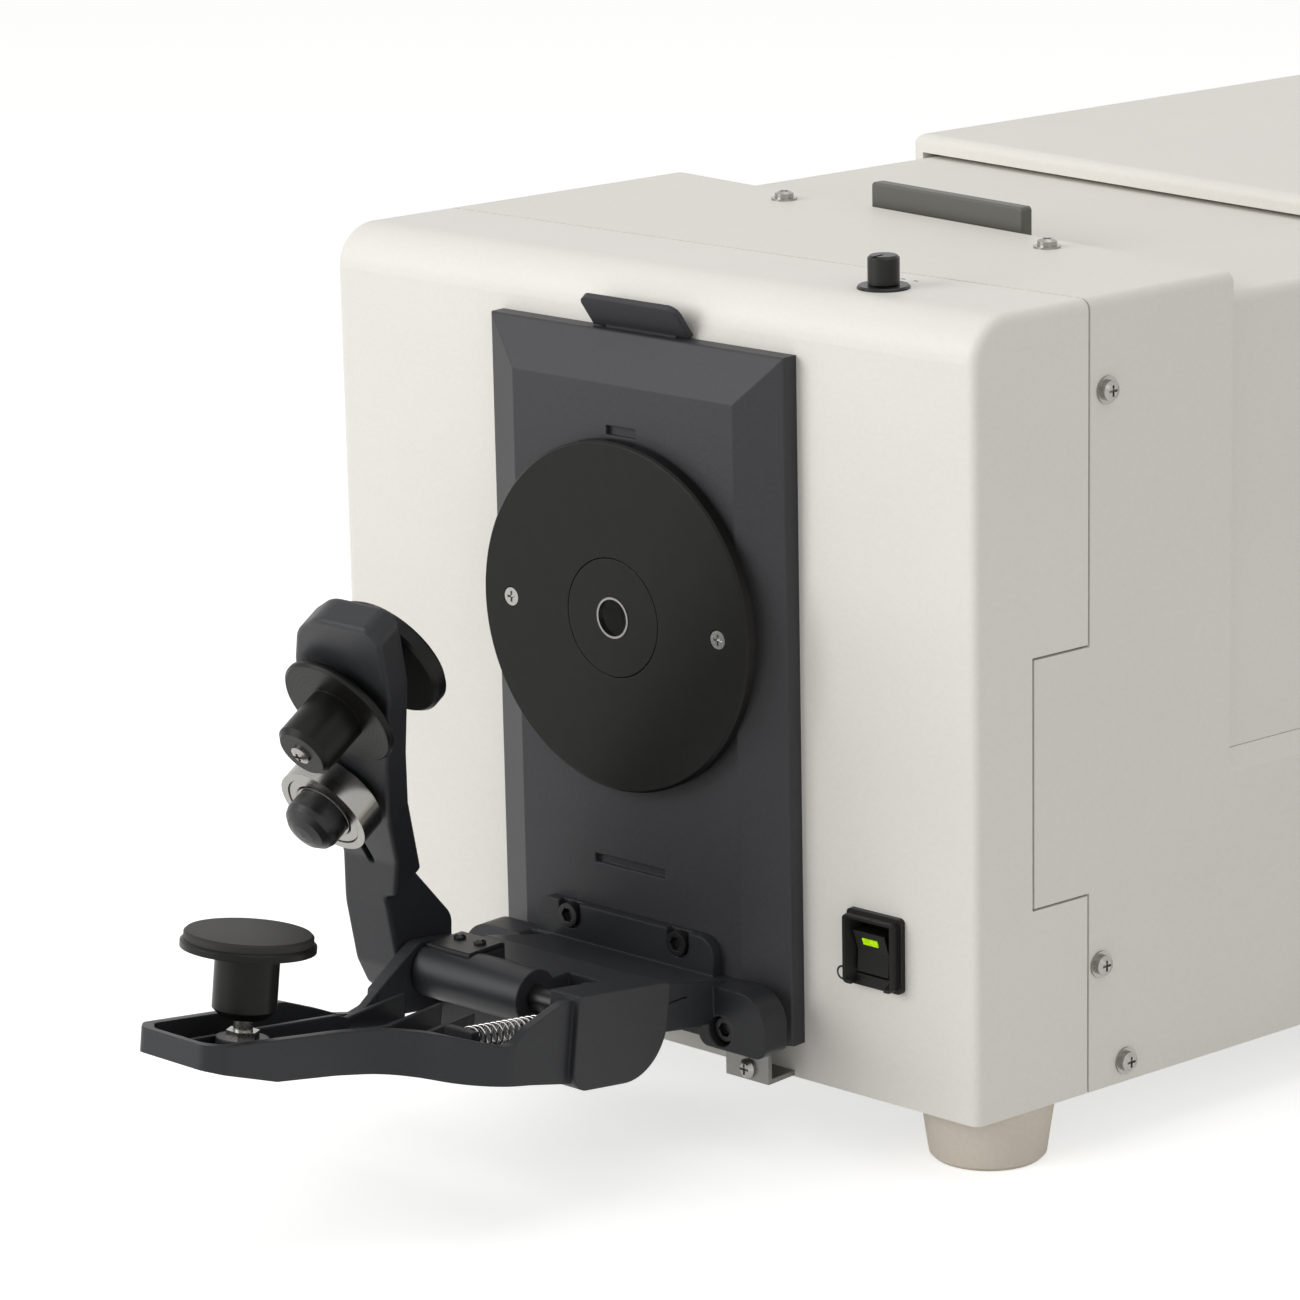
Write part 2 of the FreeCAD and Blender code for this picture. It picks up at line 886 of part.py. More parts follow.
def crossed_screw():
    """Pan head screw with washer and cross recess, along Z from its seat."""
    top = screw_washer_height + screw_head_height
    profile = [(0, -shell_wall), (screw_shank, -shell_wall), (screw_shank, 0), (screw_washer, 0),
               (screw_washer, screw_washer_height), (screw_head, screw_washer_height),
               (screw_head, top - screw_head_height * screw_crown_share / 2),
               (screw_head * screw_crown_share, top), (0, top)]
    body = turned(profile, origin, up)
    long_half = screw_slot_length / 2
    thin_half = screw_slot_width / 2
    low = top - screw_slot_depth
    first = box(-long_half, long_half, -thin_half, thin_half, low, top + overrun)
    second = box(-thin_half, thin_half, -long_half, long_half, low, top + overrun)
    return body.cut([first, second])


def cover_screws():
    """All cover screws."""
    pattern = crossed_screw()
    return group([moved(pattern, base, direction) for base, direction in cover_screw_places()])


def rear_panel():
    """Rear plate with fan grille and connector openings."""
    side = inner_half - fit_gap
    plate = box(-side, side, panel_front, panel_rear, foot_height, body_height - shell_wall - fit_gap)
    cuts = screw_holes()
    for index in range(grille_slots):
        offset = (index - (grille_slots - 1) / 2) * grille_pitch
        reach = math.sqrt(grille_radius ** 2 - offset ** 2)
        low = fan_height + offset - grille_slot / 2
        cuts.append(box(fan_across - reach, fan_across + reach, panel_front - overrun, panel_rear + overrun,
                        low, low + grille_slot))
    half = inlet_body_width / 2 + fit_gap
    tall = inlet_body_tall / 2 + fit_gap
    cuts.append(box(inlet_across - half, inlet_across + half, panel_front - overrun, panel_rear + overrun,
                    inlet_height - tall, inlet_height + tall))
    half = port_width / 2 + fit_gap
    tall = port_tall / 2 + fit_gap
    cuts.append(box(port_across - half, port_across + half, panel_front - overrun, panel_rear + overrun,
                    port_level - tall, port_level + tall))
    return plate.cut(cuts)


def power_inlet():
    """Mains inlet with three blades in a well."""
    half = inlet_width / 2
    tall = inlet_tall / 2
    flange = box(inlet_across - half, inlet_across + half, panel_rear, panel_rear + inlet_flange,
                 inlet_height - tall, inlet_height + tall)
    half = inlet_body_width / 2
    tall = inlet_body_tall / 2
    face = panel_rear + inlet_flange
    body = box(inlet_across - half, inlet_across + half, face - inlet_body_depth, face,
               inlet_height - tall, inlet_height + tall)
    half = inlet_well_width / 2
    tall = inlet_well_tall / 2
    floor = face - inlet_well_depth
    well = box(inlet_across - half, inlet_across + half, floor, face + overrun,
               inlet_height - tall, inlet_height + tall)
    pieces = [joined([flange, body]).cut(well)]
    for index in (-1, 0, 1):
        middle = inlet_height + inlet_pin_drop * (1 - 2 * abs(index))
        center = inlet_across + index * inlet_pin_pitch
        pieces.append(box(center - inlet_pin_width / 2, center + inlet_pin_width / 2,
                          floor, floor + inlet_pin_length, middle - inlet_pin_tall / 2, middle + inlet_pin_tall / 2))
    return joined(pieces)


def data_port():
    """Data socket at the rear."""
    half = port_width / 2
    tall = port_tall / 2
    face = panel_rear + port_proud
    shell = box(port_across - half, port_across + half, face - port_depth, face, port_level - tall, port_level + tall)
    half = port_well_width / 2
    tall = port_well_tall / 2
    floor = face - port_well_depth
    well = box(port_across - half, port_across + half, floor, face + overrun, port_level - tall, port_level + tall)
    half = port_tongue_width / 2
    tall = port_tongue_tall / 2
    tongue = box(port_across - half, port_across + half, floor, floor + port_tongue_length,
                 port_level - tall, port_level + tall)
    return joined([shell.cut(well), tongue])


def target_plate():
    """Raised plate around the sample port, bevelled on three sides."""
    base = block(-plate_half, plate_half, 0, plate_wall, plate_bottom, plate_top)
    outline = rectangle(-plate_half, plate_half, plate_bottom, plate_top)
    inset = plate_half - plate_bevel
    crest = rectangle(-inset, inset, plate_bottom, plate_top - plate_bevel)
    low = rounded_wire(outline, sharp(outline), lambda side, height: spot(side, plate_wall, height))
    high = rounded_wire(crest, sharp(crest), lambda side, height: spot(side, plate_plateau, height))
    whole = joined([base, Part.makeLoft([low, high], True, True)])
    rims = edges_where(whole, lambda p: p.y < -tiny)
    whole = whole.makeFillet(plate_round, rims)
    cuts = [rod(spot(0, plate_plateau + overrun, port_height), rearward, port_tube_radius + fit_gap,
                plate_plateau + overrun * 2)]
    pocket_half = tab_stem_half + tab_pocket_gap
    cuts.append(block(-pocket_half, pocket_half, -overrun, tab_back + tab_thick + tab_pocket_gap,
                      plate_top - tab_stem_depth - tab_pocket_gap, plate_top + overrun))
    for width, height in ((small_slot_width, small_slot_height), (long_slot_width, long_slot_height)):
        cuts.append(block(-width / 2, width / 2, plate_plateau - slot_depth, plate_plateau + overrun,
                          height - slot_tall / 2, height + slot_tall / 2))
    return to_front(whole.cut(cuts))


def mask_disc():
    """Round mask holder on the plate."""
    bore = mask_ring_radius + fit_gap
    thick = mask_front - plate_plateau
    profile = [(bore, thick), (bore, mask_ring_seat), (bore - mask_ring_seat, mask_ring_seat),
               (bore - mask_ring_seat, 0), (mask_radius - mask_step_inset, 0),
               (mask_radius - mask_step_inset, mask_step), (mask_radius, mask_step),
               (mask_radius, thick - mask_edge), (mask_radius - mask_edge, thick)]
    whole = turned(profile, spot(0, plate_plateau, port_height), forward)
    holes = []
    for side in (-1, 1):
        start = spot(side * mask_screw_across, mask_front + overrun, port_height)
        holes.append(rod(start, rearward, screw_shank + fit_gap, overrun + thick * 2 / 3))
        holes.append(rod(start, rearward, mask_screw_radius + fit_gap, overrun + mask_screw_height))
    return to_front(whole.cut(holes))


def mask_ring():
    """Inner mask with the aperture."""
    thick = mask_front - plate_plateau - mask_ring_seat
    rim = aperture_radius + aperture_wall + fit_gap / 2
    profile = [(rim, thick), (rim, thick / 2), (mask_ring_radius - mask_ring_wall, 0), (mask_ring_radius, 0),
               (mask_ring_radius, thick)]
    return to_front(turned(profile, spot(0, plate_plateau + mask_ring_seat, port_height), forward))


def aperture_rim():
    """Thin bright sleeve of the aperture."""
    thick = (mask_front - plate_plateau - mask_ring_seat) / 2
    outer = aperture_radius + aperture_wall
    lip = outer + aperture_wall
    profile = [(aperture_radius, 0), (outer, 0), (outer, thick), (lip, thick), (lip, thick + aperture_proud),
               (aperture_radius, thick + aperture_proud)]
    return to_front(turned(profile, spot(0, mask_front - thick, port_height), forward))


def mask_screws():
    """Two cross screws sunk in the mask."""
    depth = (mask_front - plate_plateau) * 2 / 3
    profile = [(0, -depth), (screw_shank, -depth), (screw_shank, -mask_screw_height),
               (mask_screw_radius, -mask_screw_height), (mask_screw_radius, 0), (0, 0)]
    body = turned(profile, origin, up)
    long_half = screw_slot_length / 2
    thin_half = screw_slot_width / 2
    first = box(-long_half, long_half, -thin_half, thin_half, -mask_screw_slot_depth, overrun)
    second = box(-thin_half, thin_half, -long_half, long_half, -mask_screw_slot_depth, overrun)
    pattern = body.cut([first, second])
    shapes = []
    for side in (-1, 1):
        shapes.append(to_front(moved(pattern, spot(side * mask_screw_across, mask_front, port_height), forward)))
    return group(shapes)


def release_tab():
    """Leaning tab above the plate, on a stem behind it."""
    stem = block(-tab_stem_half, tab_stem_half, tab_back, tab_back + tab_thick,
                 plate_top - tab_stem_depth, plate_top + tab_thick / 2)
    points = rectangle(-tab_half, tab_half, 0, tab_length)
    blade = face_prism(points, [0, 0, tab_round, tab_round], 0, tab_thick)
    blade.rotate(origin, across, tab_lean)
    blade.translate(spot(0, tab_back, plate_top + tab_thick * 2 / 3))
    return to_front(joined([stem, blade]))


def holder_bracket():
    """Clamp bracket with flange, ears, shelf and hinge barrels."""
    back = plate_plateau
    points = rectangle(-flange_half, flange_half, bracket_base_top - overrun, flange_top)
    flange = face_prism(points, [0, 0, flange_round, flange_round], back, back + flange_thick)
    points = rectangle(-bracket_base_half, bracket_base_half, bracket_base_bottom, bracket_base_top)
    base = face_prism(points, [ear_round, ear_round, ear_crown, ear_crown], back, back + bracket_base_thick)
    pieces = [flange, base]
    for side in (-1, 1):
        left = min(side * ear_inner, side * bracket_base_half)
        points = rectangle(left, left + bracket_base_half - ear_inner, bracket_base_bottom, bracket_base_top)
        bends = [ear_round, ear_round, ear_round, ear_round]
        bends[2 if side > 0 else 3] = ear_crown
        pieces.append(face_prism(points, bends, back, back + ear_thick))
    shelf_under = shelf_top - shelf_thick
    points = [(back, shelf_back_top - shelf_thick * 2), (back, shelf_back_top), (shelf_knee, shelf_top),
              (hinge_forward, shelf_top), (hinge_forward, shelf_under), (hinge_forward / 2, shelf_under)]
    pieces.append(side_prism(points, sharp(points), barrel_left, lug_right))
    for left in (barrel_left, lug_right - shelf_web_thick):
        points = [(back, shelf_back_top), (back, shelf_back_top - shelf_web_drop),
                  (hinge_forward, hinge_height - shelf_thick), (hinge_forward, shelf_under)]
        pieces.append(side_prism(points, sharp(points), left, left + shelf_web_thick))
    hinge = hinge_forward
    pieces.append(rod(spot(barrel_left, hinge, hinge_height), across, barrel_radius, barrel_right - barrel_left))
    pieces.append(rod(spot(lug_left, hinge, hinge_height), across, barrel_radius, lug_right - lug_left))
    pieces.append(block(strap_left, strap_right, strap_back, strap_front, hinge_height, strap_seat))
    pieces.append(block(barrel_left, barrel_right, hinge - apron_setback - apron_thick, hinge - apron_setback,
                        bracket_base_bottom, hinge_height))
    whole = joined(pieces)
    window = block(barrel_right, lug_left, shelf_window_start, hinge_forward + barrel_radius * 2,
                   hinge_height - barrel_radius * 2, hinge_height + barrel_radius * 2)
    cuts = [window]
    cuts.append(block(barrel_left - overrun, strap_right + fit_gap, strap_back - fit_gap, strap_front + overrun,
                      strap_seat, hinge_height + barrel_radius * 2))
    cuts.append(rod(spot(barrel_left - overrun, hinge, hinge_height), across, shaft_radius + run_gap,
                    lug_right - barrel_left + overrun * 2))
    for side in (-1, 1):
        place = side * flange_screw_across
        face = back + flange_thick
        cuts.append(rod(spot(place, face + overrun, flange_screw_height), rearward, flange_slot_radius,
                        overrun + flange_slot_depth))
        cuts.append(block(place - flange_slot_radius, place + flange_slot_radius, face - flange_slot_depth,
                          face + overrun, flange_screw_height, flange_top + overrun))
        place = side * ear_screw_across
        cuts.append(rod(spot(place, back + ear_thick + overrun, ear_screw_height), rearward, ear_pocket_radius,
                        ear_pocket_depth + overrun))
    whole = whole.cut(cuts)
    axis = spring_peg()
    drop = block(spring_across - spring_riser_half, spring_across + spring_riser_half, spring_riser_back,
                 shelf_window_start, hinge_height + spring_height - spring_radius * 2, shelf_top)
    return to_front(joined([whole, drop, axis]))


def spring_post_radius():
    """Radius of the pegs inside the coil."""
    return spring_radius - spring_wire / 2 - fit_gap


def spring_peg():
    """Fixed peg that holds the rear end of the spring."""
    begin = shelf_window_start - hinge_forward - spring_post_length
    length = spring_start + spring_post_length - begin
    return raise_lever(rod(spot(spring_across, begin, spring_height), forward, spring_post_radius(), length))


def socket_screw(base, direction):
    """Black cap screw head with a hexagon socket."""
    head = rod(base, direction, bracket_screw_head, bracket_screw_head_height)
    start = base + direction * (bracket_screw_head_height - bracket_screw_socket_depth)
    well = hexagon(bracket_screw_socket * 2, start, direction, bracket_screw_head_height)
    return head.cut(well)


def bracket_screws():
    """Four screws that hold the bracket."""
    shapes = []
    for side in (-1, 1):
        seat = plate_plateau + flange_thick - flange_slot_depth
        shapes.append(to_front(socket_screw(spot(side * flange_screw_across, seat, flange_screw_height), forward)))
        seat = plate_plateau + ear_thick - ear_pocket_depth
        shapes.append(to_front(socket_screw(spot(side * ear_screw_across, seat, ear_screw_height), forward)))
    return group(shapes)


def strap_plate():
    """Strap on the flat of the barrel."""
    plate = block(strap_left, strap_right, strap_back, strap_front, strap_seat, strap_seat + strap_thick)
    rims = edges_where(plate, lambda p: near(p.z, strap_seat + strap_thick))
    return to_front(plate.makeChamfer(strap_thick / 3, rims))


def strap_screws():
    """Two small screws on the strap."""
    shapes = []
    seat = strap_seat + strap_thick
    profile = [(0, 0), (strap_screw_radius, 0), (strap_screw_radius, strap_screw_height / 2),
               (strap_screw_radius / 2, strap_screw_height), (0, strap_screw_height)]
    for place in (strap_left + strap_screw_inset, strap_right - strap_screw_inset):
        shapes.append(to_front(turned(profile, spot(place, strap_screw_forward, seat), up)))
    return group(shapes)


def lower_tabs():
    """Two galvanised tabs from the front shell to the bracket."""
    shapes = []
    for side in (-1, 1):
        left = min(side * low_tab_inner, side * low_tab_outer)
        right = left + low_tab_outer - low_tab_inner
        wall = block(left, right, plate_plateau - low_tab_thick, plate_plateau, low_tab_bottom, low_tab_top)
        foot = block(left, right, 0, plate_plateau, low_tab_bottom, low_tab_bottom + low_tab_thick)
        shapes.append(to_front(joined([wall, foot])))
    return group(shapes)


def tab_screws():
    """Cross screws on the lower tabs."""
    top = screw_head_height
    profile = [(0, 0), (screw_head, 0), (screw_head, top / 2), (screw_head * screw_crown_share, top), (0, top)]
    body = turned(profile, origin, up)
    long_half = screw_slot_length / 2
    thin_half = screw_slot_width / 2
    low = top - screw_slot_depth
    first = box(-long_half, long_half, -thin_half, thin_half, low, top + overrun)
    second = box(-thin_half, thin_half, -long_half, long_half, low, top + overrun)
    pattern = body.cut([first, second])
    shapes = []
    for side in (-1, 1):
        base = spot(side * low_screw_across, plate_plateau, low_screw_height)
        shapes.append(to_front(moved(pattern, base, forward)))
    return group(shapes)


def hinge_shaft():
    """Hinge pin through lever, arm and bracket."""
    return to_front(rod(spot(shaft_left, hinge_forward, hinge_height), across, shaft_radius, shaft_right - shaft_left))


def lever_edge(shares, half, inset):
    """One side of the tray plan from the hinge to the tip, set in by a wall."""
    points = []
    for along, wide in shares:
        points.append((wide * half - inset, tray_start + along * tray_length - inset * lever_lean_share))
    points[-1] = (points[-1][0], lever_reach - inset)
    if inset > 0:
        points[0] = (points[0][0], points[0][1] - overrun * 2)
    return points


def lever_plan(inset):
    """Closed plan of the lever tray, set in by a wall."""
    right = lever_edge(lever_right_shares, cheek_outer, inset)
    left = lever_edge(lever_left_shares, left_cheek_outer, inset)
    points = right + [(-side, along) for side, along in reversed(left)]
    bends = list(lever_right_round_shares) + list(reversed(lever_left_round_shares))
    return points, [bend * lever_reach for bend in bends]


def lever_side(lift, extra, rim_shares, round_shares):
    """Side outline of the tray, lifted by the floor thickness."""
    points = []
    rounds = []
    for along, deep in lever_under_shares:
        points.append((tray_start + along * tray_length, lift - deep * tray_depth))
        rounds.append(0)
    for (along, tall), bend in zip(rim_shares, round_shares):
        points.append((tray_start + along * tray_length, tall * cheek_top + extra))
        rounds.append(bend * lever_reach)
    if lift > 0:
        points[0] = (points[0][0] - overrun * 2, points[0][1])
        points[-1] = (points[-1][0] - overrun * 2, points[-1][1])
    last = len(lever_under_shares)
    points[last - 1] = (points[last - 1][0] + lift * 2, points[last - 1][1])
    points[last] = (points[last][0] + lift * 2, points[last][1])
    return points, rounds


def lever():
    """Tray lever with two hinge cheeks, ribs and the pad boss."""
    plan, rounds = lever_plan(0)
    wide = cheek_outer + overrun
    outer = plan_prism(plan, rounds, -tray_depth * 2, tray_depth * 2)
    side, bends = lever_side(0, 0, lever_right_rim_shares, lever_right_rim_round_shares)
    envelope = outer.common(side_prism(side, bends, -wide, wide))
    high_half = envelope.common(block(0, wide, 0, lever_reach + overrun, -tray_depth * 2, tray_depth * 2))
    side, bends = lever_side(0, 0, lever_left_rim_shares, lever_left_rim_round_shares)
    low_half = outer.common(side_prism(side, bends, -wide, 0))
    skin = joined([high_half, low_half])
    plan, rounds = lever_plan(lever_wall)
    side, bends = lever_side(lever_floor, overrun, lever_right_rim_shares, lever_right_rim_round_shares)
    hollow = plan_prism(plan, rounds, -tray_depth * 2, tray_depth * 2)
    hollow = hollow.common(side_prism(side, bends, -wide, wide))
    pieces = [skin.cut(hollow)]
    for share in fin_shares:
        middle = share * cheek_outer
        points = [(tray_start, -tray_depth * 2), (tray_start, -fin_high_drop),
                  (tray_start + fin_length, -fin_low_drop), (tray_start + fin_length, -tray_depth * 2)]
        fin = side_prism(points, sharp(points), middle - rib_thick / 2, middle + rib_thick / 2)
        pieces.append(fin.common(envelope))
    for begin, left, end, right in rib_shares:
        first = vec(left * cheek_outer, begin * lever_reach, 0)
        second = vec(right * cheek_outer, end * lever_reach, 0)
        along = second - first
        along.normalize()
        off = vec(-along.y, along.x, 0) * (rib_thick / 2)
        corners = [first + off, first - off, second - off, second + off]
        outline = [(corner.x, corner.y) for corner in corners]
        rib = plan_prism(outline, sharp(outline), -tray_depth * 2, rib_height - tray_depth)
        pieces.append(rib.common(skin))
        rail = plan_prism(outline, sharp(outline), -tray_depth * 2, -rim_height)
        if near(left, right):
            pieces.append(rail.common(skin))
    points = rectangle(-cheek_back, cheek_front, -cheek_bottom, cheek_top)
    bends = [cheek_round, cheek_front_round, 0, cheek_top_round]
    pieces.append(side_prism(points, bends, cheek_inner, cheek_outer))
    foot = tray_start + lever_wall
    floor_low = -tray_depth * lever_under_shares[1][1]
    points = [(-cheek_back, left_cheek_top), (left_cheek_flat, left_cheek_top), (foot, -left_cheek_foot),
              (foot, floor_low), (-left_cheek_flat, floor_low), (-cheek_back, -left_cheek_foot)]
    bends = [cheek_top_round, cheek_front_round, 0, 0, cheek_front_round, cheek_front_round]
    pieces.append(side_prism(points, bends, -left_cheek_outer, -left_cheek_inner))
    floor_under = -tray_depth * lever_under_shares[3][1] + lever_floor / 2
    pieces.append(rod(spot(0, pad_axis, floor_under), up, pad_boss_radius, boss_height - floor_under))
    wall_back = spring_end + fit_gap
    wall = block(spring_across - spring_wall_half, spring_across + spring_wall_half, wall_back,
                 wall_back + spring_wall_thick, -tray_depth + lever_floor / 2, spring_height + spring_radius)
    pieces.append(wall)
    pieces.append(rod(spot(spring_across, wall_back + spring_wall_thick / 2, spring_height), rearward,
                      spring_post_radius(), spring_post_length + spring_wall_thick / 2))
    whole = joined(pieces)
    cuts = [rod(spot(shaft_left, 0, 0), across, shaft_radius + run_gap, shaft_right + fit_gap - shaft_left)]
    cuts.append(rod(spot(0, pad_axis, boss_height - stud_below - fit_gap), up, stud_radius + run_gap,
                    stud_below + overrun))
    return to_front(raise_lever(whole.cut(cuts)))


def pad_stud():
    """Threaded stud of the lever pad."""
    return to_front(raise_lever(rod(spot(0, pad_axis, boss_height - stud_below), up, stud_radius,
                                    stud_below + stud_above)))


def pad_nut():
    """Lock nut on the lever boss."""
    body = hexagon(nut_flats, spot(0, pad_axis, boss_height), up, nut_height)
    bore = rod(spot(0, pad_axis, boss_height - overrun), up, stud_radius + run_gap, nut_height + overrun * 2)
    return to_front(raise_lever(body.cut(bore)))


def lever_pad():
    """Pad body on the stud."""
    top = pad_stem_length + pad_flange_thick
    bore = stud_radius + run_gap
    profile = [(bore, 0), (pad_stem_radius - pad_stem_chamfer, 0), (pad_stem_radius, pad_stem_chamfer),
               (pad_stem_radius, pad_stem_length), (pad_flange_radius, pad_stem_length),
               (pad_flange_radius, top - pad_edge), (pad_flange_radius - pad_edge, top), (0, top),
               (0, pad_bore_depth), (bore, pad_bore_depth)]
    return to_front(raise_lever(turned(profile, spot(0, pad_axis, boss_height + pad_stand_off), up)))


def lever_pad_face():
    """Rubber face of the lever pad."""
    profile = [(0, 0), (pad_face_radius, 0), (pad_face_radius, pad_face_thick - pad_edge),
               (pad_face_radius - pad_edge, pad_face_thick), (0, pad_face_thick)]
    seat = boss_height + pad_stand_off + pad_stem_length + pad_flange_thick
    return to_front(raise_lever(turned(profile, spot(0, pad_axis, seat), up)))


def fair_arc(start, corner, end):
    """Arc between two points whose tangents meet at a corner."""
    middle = (start + end) * (1 / 2)
    chord = start.distanceToPoint(end) / 2
    rise = corner - middle
    angle = math.atan2(rise.Length, chord)
    rise.normalize()
    return Part.Arc(start, middle + rise * (chord * math.tan(angle / 2)), end).toShape()


def quarter_arcs(start, head, end, tail):
    """Two arcs that join two points with given directions."""
    gap = end - start
    both = head + tail
    spread = 2 * (1 - head.dot(tail))
    along = gap.dot(both)
    reach = (math.sqrt(along * along + spread * gap.dot(gap)) - along) / spread
    first = start + head * reach
    second = end - tail * reach
    joint = (first + second) * (1 / 2)
    return [fair_arc(start, first, joint), fair_arc(joint, second, end)]


def clamp_spring():
    """Extension coil along the lever, straight for one wire at each end."""
    steps = spring_turns * 4
    run = spring_end - spring_start - spring_wire
    pitch = run / spring_turns
    slope = pitch / (2 * math.pi)
    points = []
    heads = []
    for index in range(steps + 1):
        angle = math.radians(quarter_turn * index)
        ahead = spring_start + spring_wire / 2 + run * index / steps
        points.append(spot(spring_across + spring_radius * math.cos(angle), ahead,
                           spring_height + spring_radius * math.sin(angle)))
        head = spot(-spring_radius * math.sin(angle), slope, spring_radius * math.cos(angle))
        head.normalize()
        heads.append(head)
    first = points[0] - heads[0] * spring_wire
    last = points[-1] + heads[-1] * spring_wire
    edges = [Part.LineSegment(first, points[0]).toShape()]
    for index in range(steps):
        edges += quarter_arcs(points[index], heads[index], points[index + 1], heads[index + 1])
    edges.append(Part.LineSegment(points[-1], last).toShape())
    path = Part.Wire(edges)
    ring = Part.Wire([Part.Circle(first, heads[0], spring_wire / 2).toShape()])
    coil = path.makePipeShell([ring], True, False)
    print("spring least gap", round(least_gap(path), 3))
    return to_front(raise_lever(coil))


def least_gap(path):
    """Least clear distance between turns of the coil, on points along its path."""
    points = path.discretize(len(path.Edges) * 4)
    per_turn = len(points) // spring_turns
    least = path.Length
    for index, point in enumerate(points):
        for other in points[index + per_turn // 2:]:
            least = min(least, point.distanceToPoint(other))
    return least - spring_wire


def swing_arm():
    """Slanted swing arm with its leg, bearing seat and ball socket."""
    low = hinge_height - arm_clear
    outline = [(arm_hub_right, low), (arm_hub_right, hinge_height + arm_clear)]
    for side, rise in arm_slab_shares:
        outline.append((-side * arm_hub_left, hinge_height + rise * arm_height))
    outline.append((arm_hub_left, low))
    bends = [bend * arm_clear for bend in arm_slab_round_shares]
    front = hinge_forward + arm_front
    back = front - arm_thick
    top = hinge_height + arm_height + overrun
    profile = [(front, top), (front, hinge_height + arm_leg_top_share * arm_clear)]
    for ahead, rise in arm_leg_shares:
        profile.append((hinge_forward + ahead * arm_clear, hinge_height + rise * arm_clear))
    profile += [(back, hinge_height + arm_clear), (back, top)]
    rounds = [0] + [bend * arm_clear for bend in arm_leg_round_shares] + [0]
    slab = face_prism(outline, bends, back - arm_thick * 2, front + arm_thick * 2)
    slab = slab.common(side_prism(profile, rounds, arm_hub_left - overrun, -arm_hub_left))
    rims = edges_where(slab, lambda p: p.y < tiny - front and p.z > hinge_height)
    slab = slab.makeFillet(arm_edge, [edge for edge in rims if edge.Length > arm_edge])
    seat = rod(arm_spot(bearing_across, arm_front - arm_thick / 2, bearing_rise), forward, bearing_seat_radius,
               arm_thick / 2 + bearing_seat_height)
    whole = joined([slab, seat])
    cuts = [rod(arm_spot(arm_hub_left - overrun, 0, 0), across, shaft_radius + run_gap,
                arm_hub_right - arm_hub_left + overrun * 2)]
    cuts.append(rod(arm_spot(bearing_across, arm_front + bearing_seat_height + overrun, bearing_rise), rearward,
                    bearing_bore, bearing_pin_depth + overrun))
    cuts.append(Part.makeSphere(arm_ball_radius + arm_ball_gap, arm_spot(arm_pad_across, arm_ball_ahead, arm_pad_rise)))
    for shift in (-arm_slot_half, arm_slot_half):
        cuts.append(rod(arm_spot(arm_slot_across, arm_front + overrun, arm_slot_rise + shift), rearward,
                        arm_slot_radius, arm_thick + overrun * 2))
    middle = hinge_height + arm_slot_rise
    cuts.append(block(arm_slot_across - arm_slot_radius, arm_slot_across + arm_slot_radius,
                      front - arm_thick - overrun, front + overrun, middle - arm_slot_half, middle + arm_slot_half))
    return to_front(lean_arm(whole.cut(cuts)))


def arm_inner_pad():
    """Pad that meets the sample, on a ball that turns in the arm."""
    thick = arm_pad_thick
    profile = [(0, 0), (arm_pad_radius - arm_pad_edge, 0), (arm_pad_radius, arm_pad_edge),
               (arm_pad_radius, thick - arm_pad_edge), (arm_pad_radius - arm_pad_edge, thick),
               (arm_neck_radius, thick), (arm_neck_radius, arm_pad_reach), (0, arm_pad_reach)]
    base = arm_spot(arm_pad_across, arm_ball_ahead - arm_pad_reach, arm_pad_rise)
    ball = Part.makeSphere(arm_ball_radius, arm_spot(arm_pad_across, arm_ball_ahead, arm_pad_rise))
    return to_front(lean_arm(joined([turned(profile, base, forward), ball])))


def arm_outer_knob():
    """Round knob on the outer side of the arm head."""
    disc = knob_neck_length
    stem = disc + knob_disc_thick
    top = stem + knob_stem_length
    profile = [(0, 0), (knob_neck_radius, 0), (knob_neck_radius, disc), (knob_disc_radius - knob_disc_edge, disc),
               (knob_disc_radius, disc + knob_disc_edge), (knob_disc_radius, stem - knob_disc_edge),
               (knob_disc_radius - knob_disc_edge, stem), (knob_stem_radius, stem),
               (knob_stem_radius, top - knob_stem_chamfer), (knob_stem_radius - knob_stem_chamfer, top), (0, top)]
    return to_front(lean_arm(turned(profile, arm_spot(arm_pad_across, arm_front, arm_pad_rise), forward)))


def knob_end():
    """Place of the outer knob's end ahead of the hinge."""
    return arm_front + knob_neck_length + knob_disc_thick + knob_stem_length


def arm_knob_screw():
    """Cross screw in the end of the outer knob."""
    profile = [(0, 0), (knob_screw_radius, 0), (knob_screw_radius, knob_screw_height / 2),
               (knob_screw_radius / 2, knob_screw_height), (0, knob_screw_height)]
    head = turned(profile, arm_spot(arm_pad_across, knob_end(), arm_pad_rise), forward)
    top = hinge_forward + knob_end() + knob_screw_height
    middle = hinge_height + arm_pad_rise
    half_slot = knob_screw_slot / 2
    half_cross = knob_screw_radius / 2
    slots = []
    for wide, tall in ((half_slot, half_cross), (half_cross, half_slot)):
        slots.append(block(arm_pad_across - wide, arm_pad_across + wide, top - knob_screw_slot, top + overrun,
                           middle - tall, middle + tall))
    return to_front(lean_arm(head.cut(slots)))


def bearing_ring(inside, outside):
    """One ring of the ball bearing."""
    profile = [(inside, 0), (outside, 0), (outside, bearing_width), (inside, bearing_width)]
    base = arm_spot(bearing_across, arm_front + bearing_seat_height, bearing_rise)
    return to_front(lean_arm(turned(profile, base, forward)))


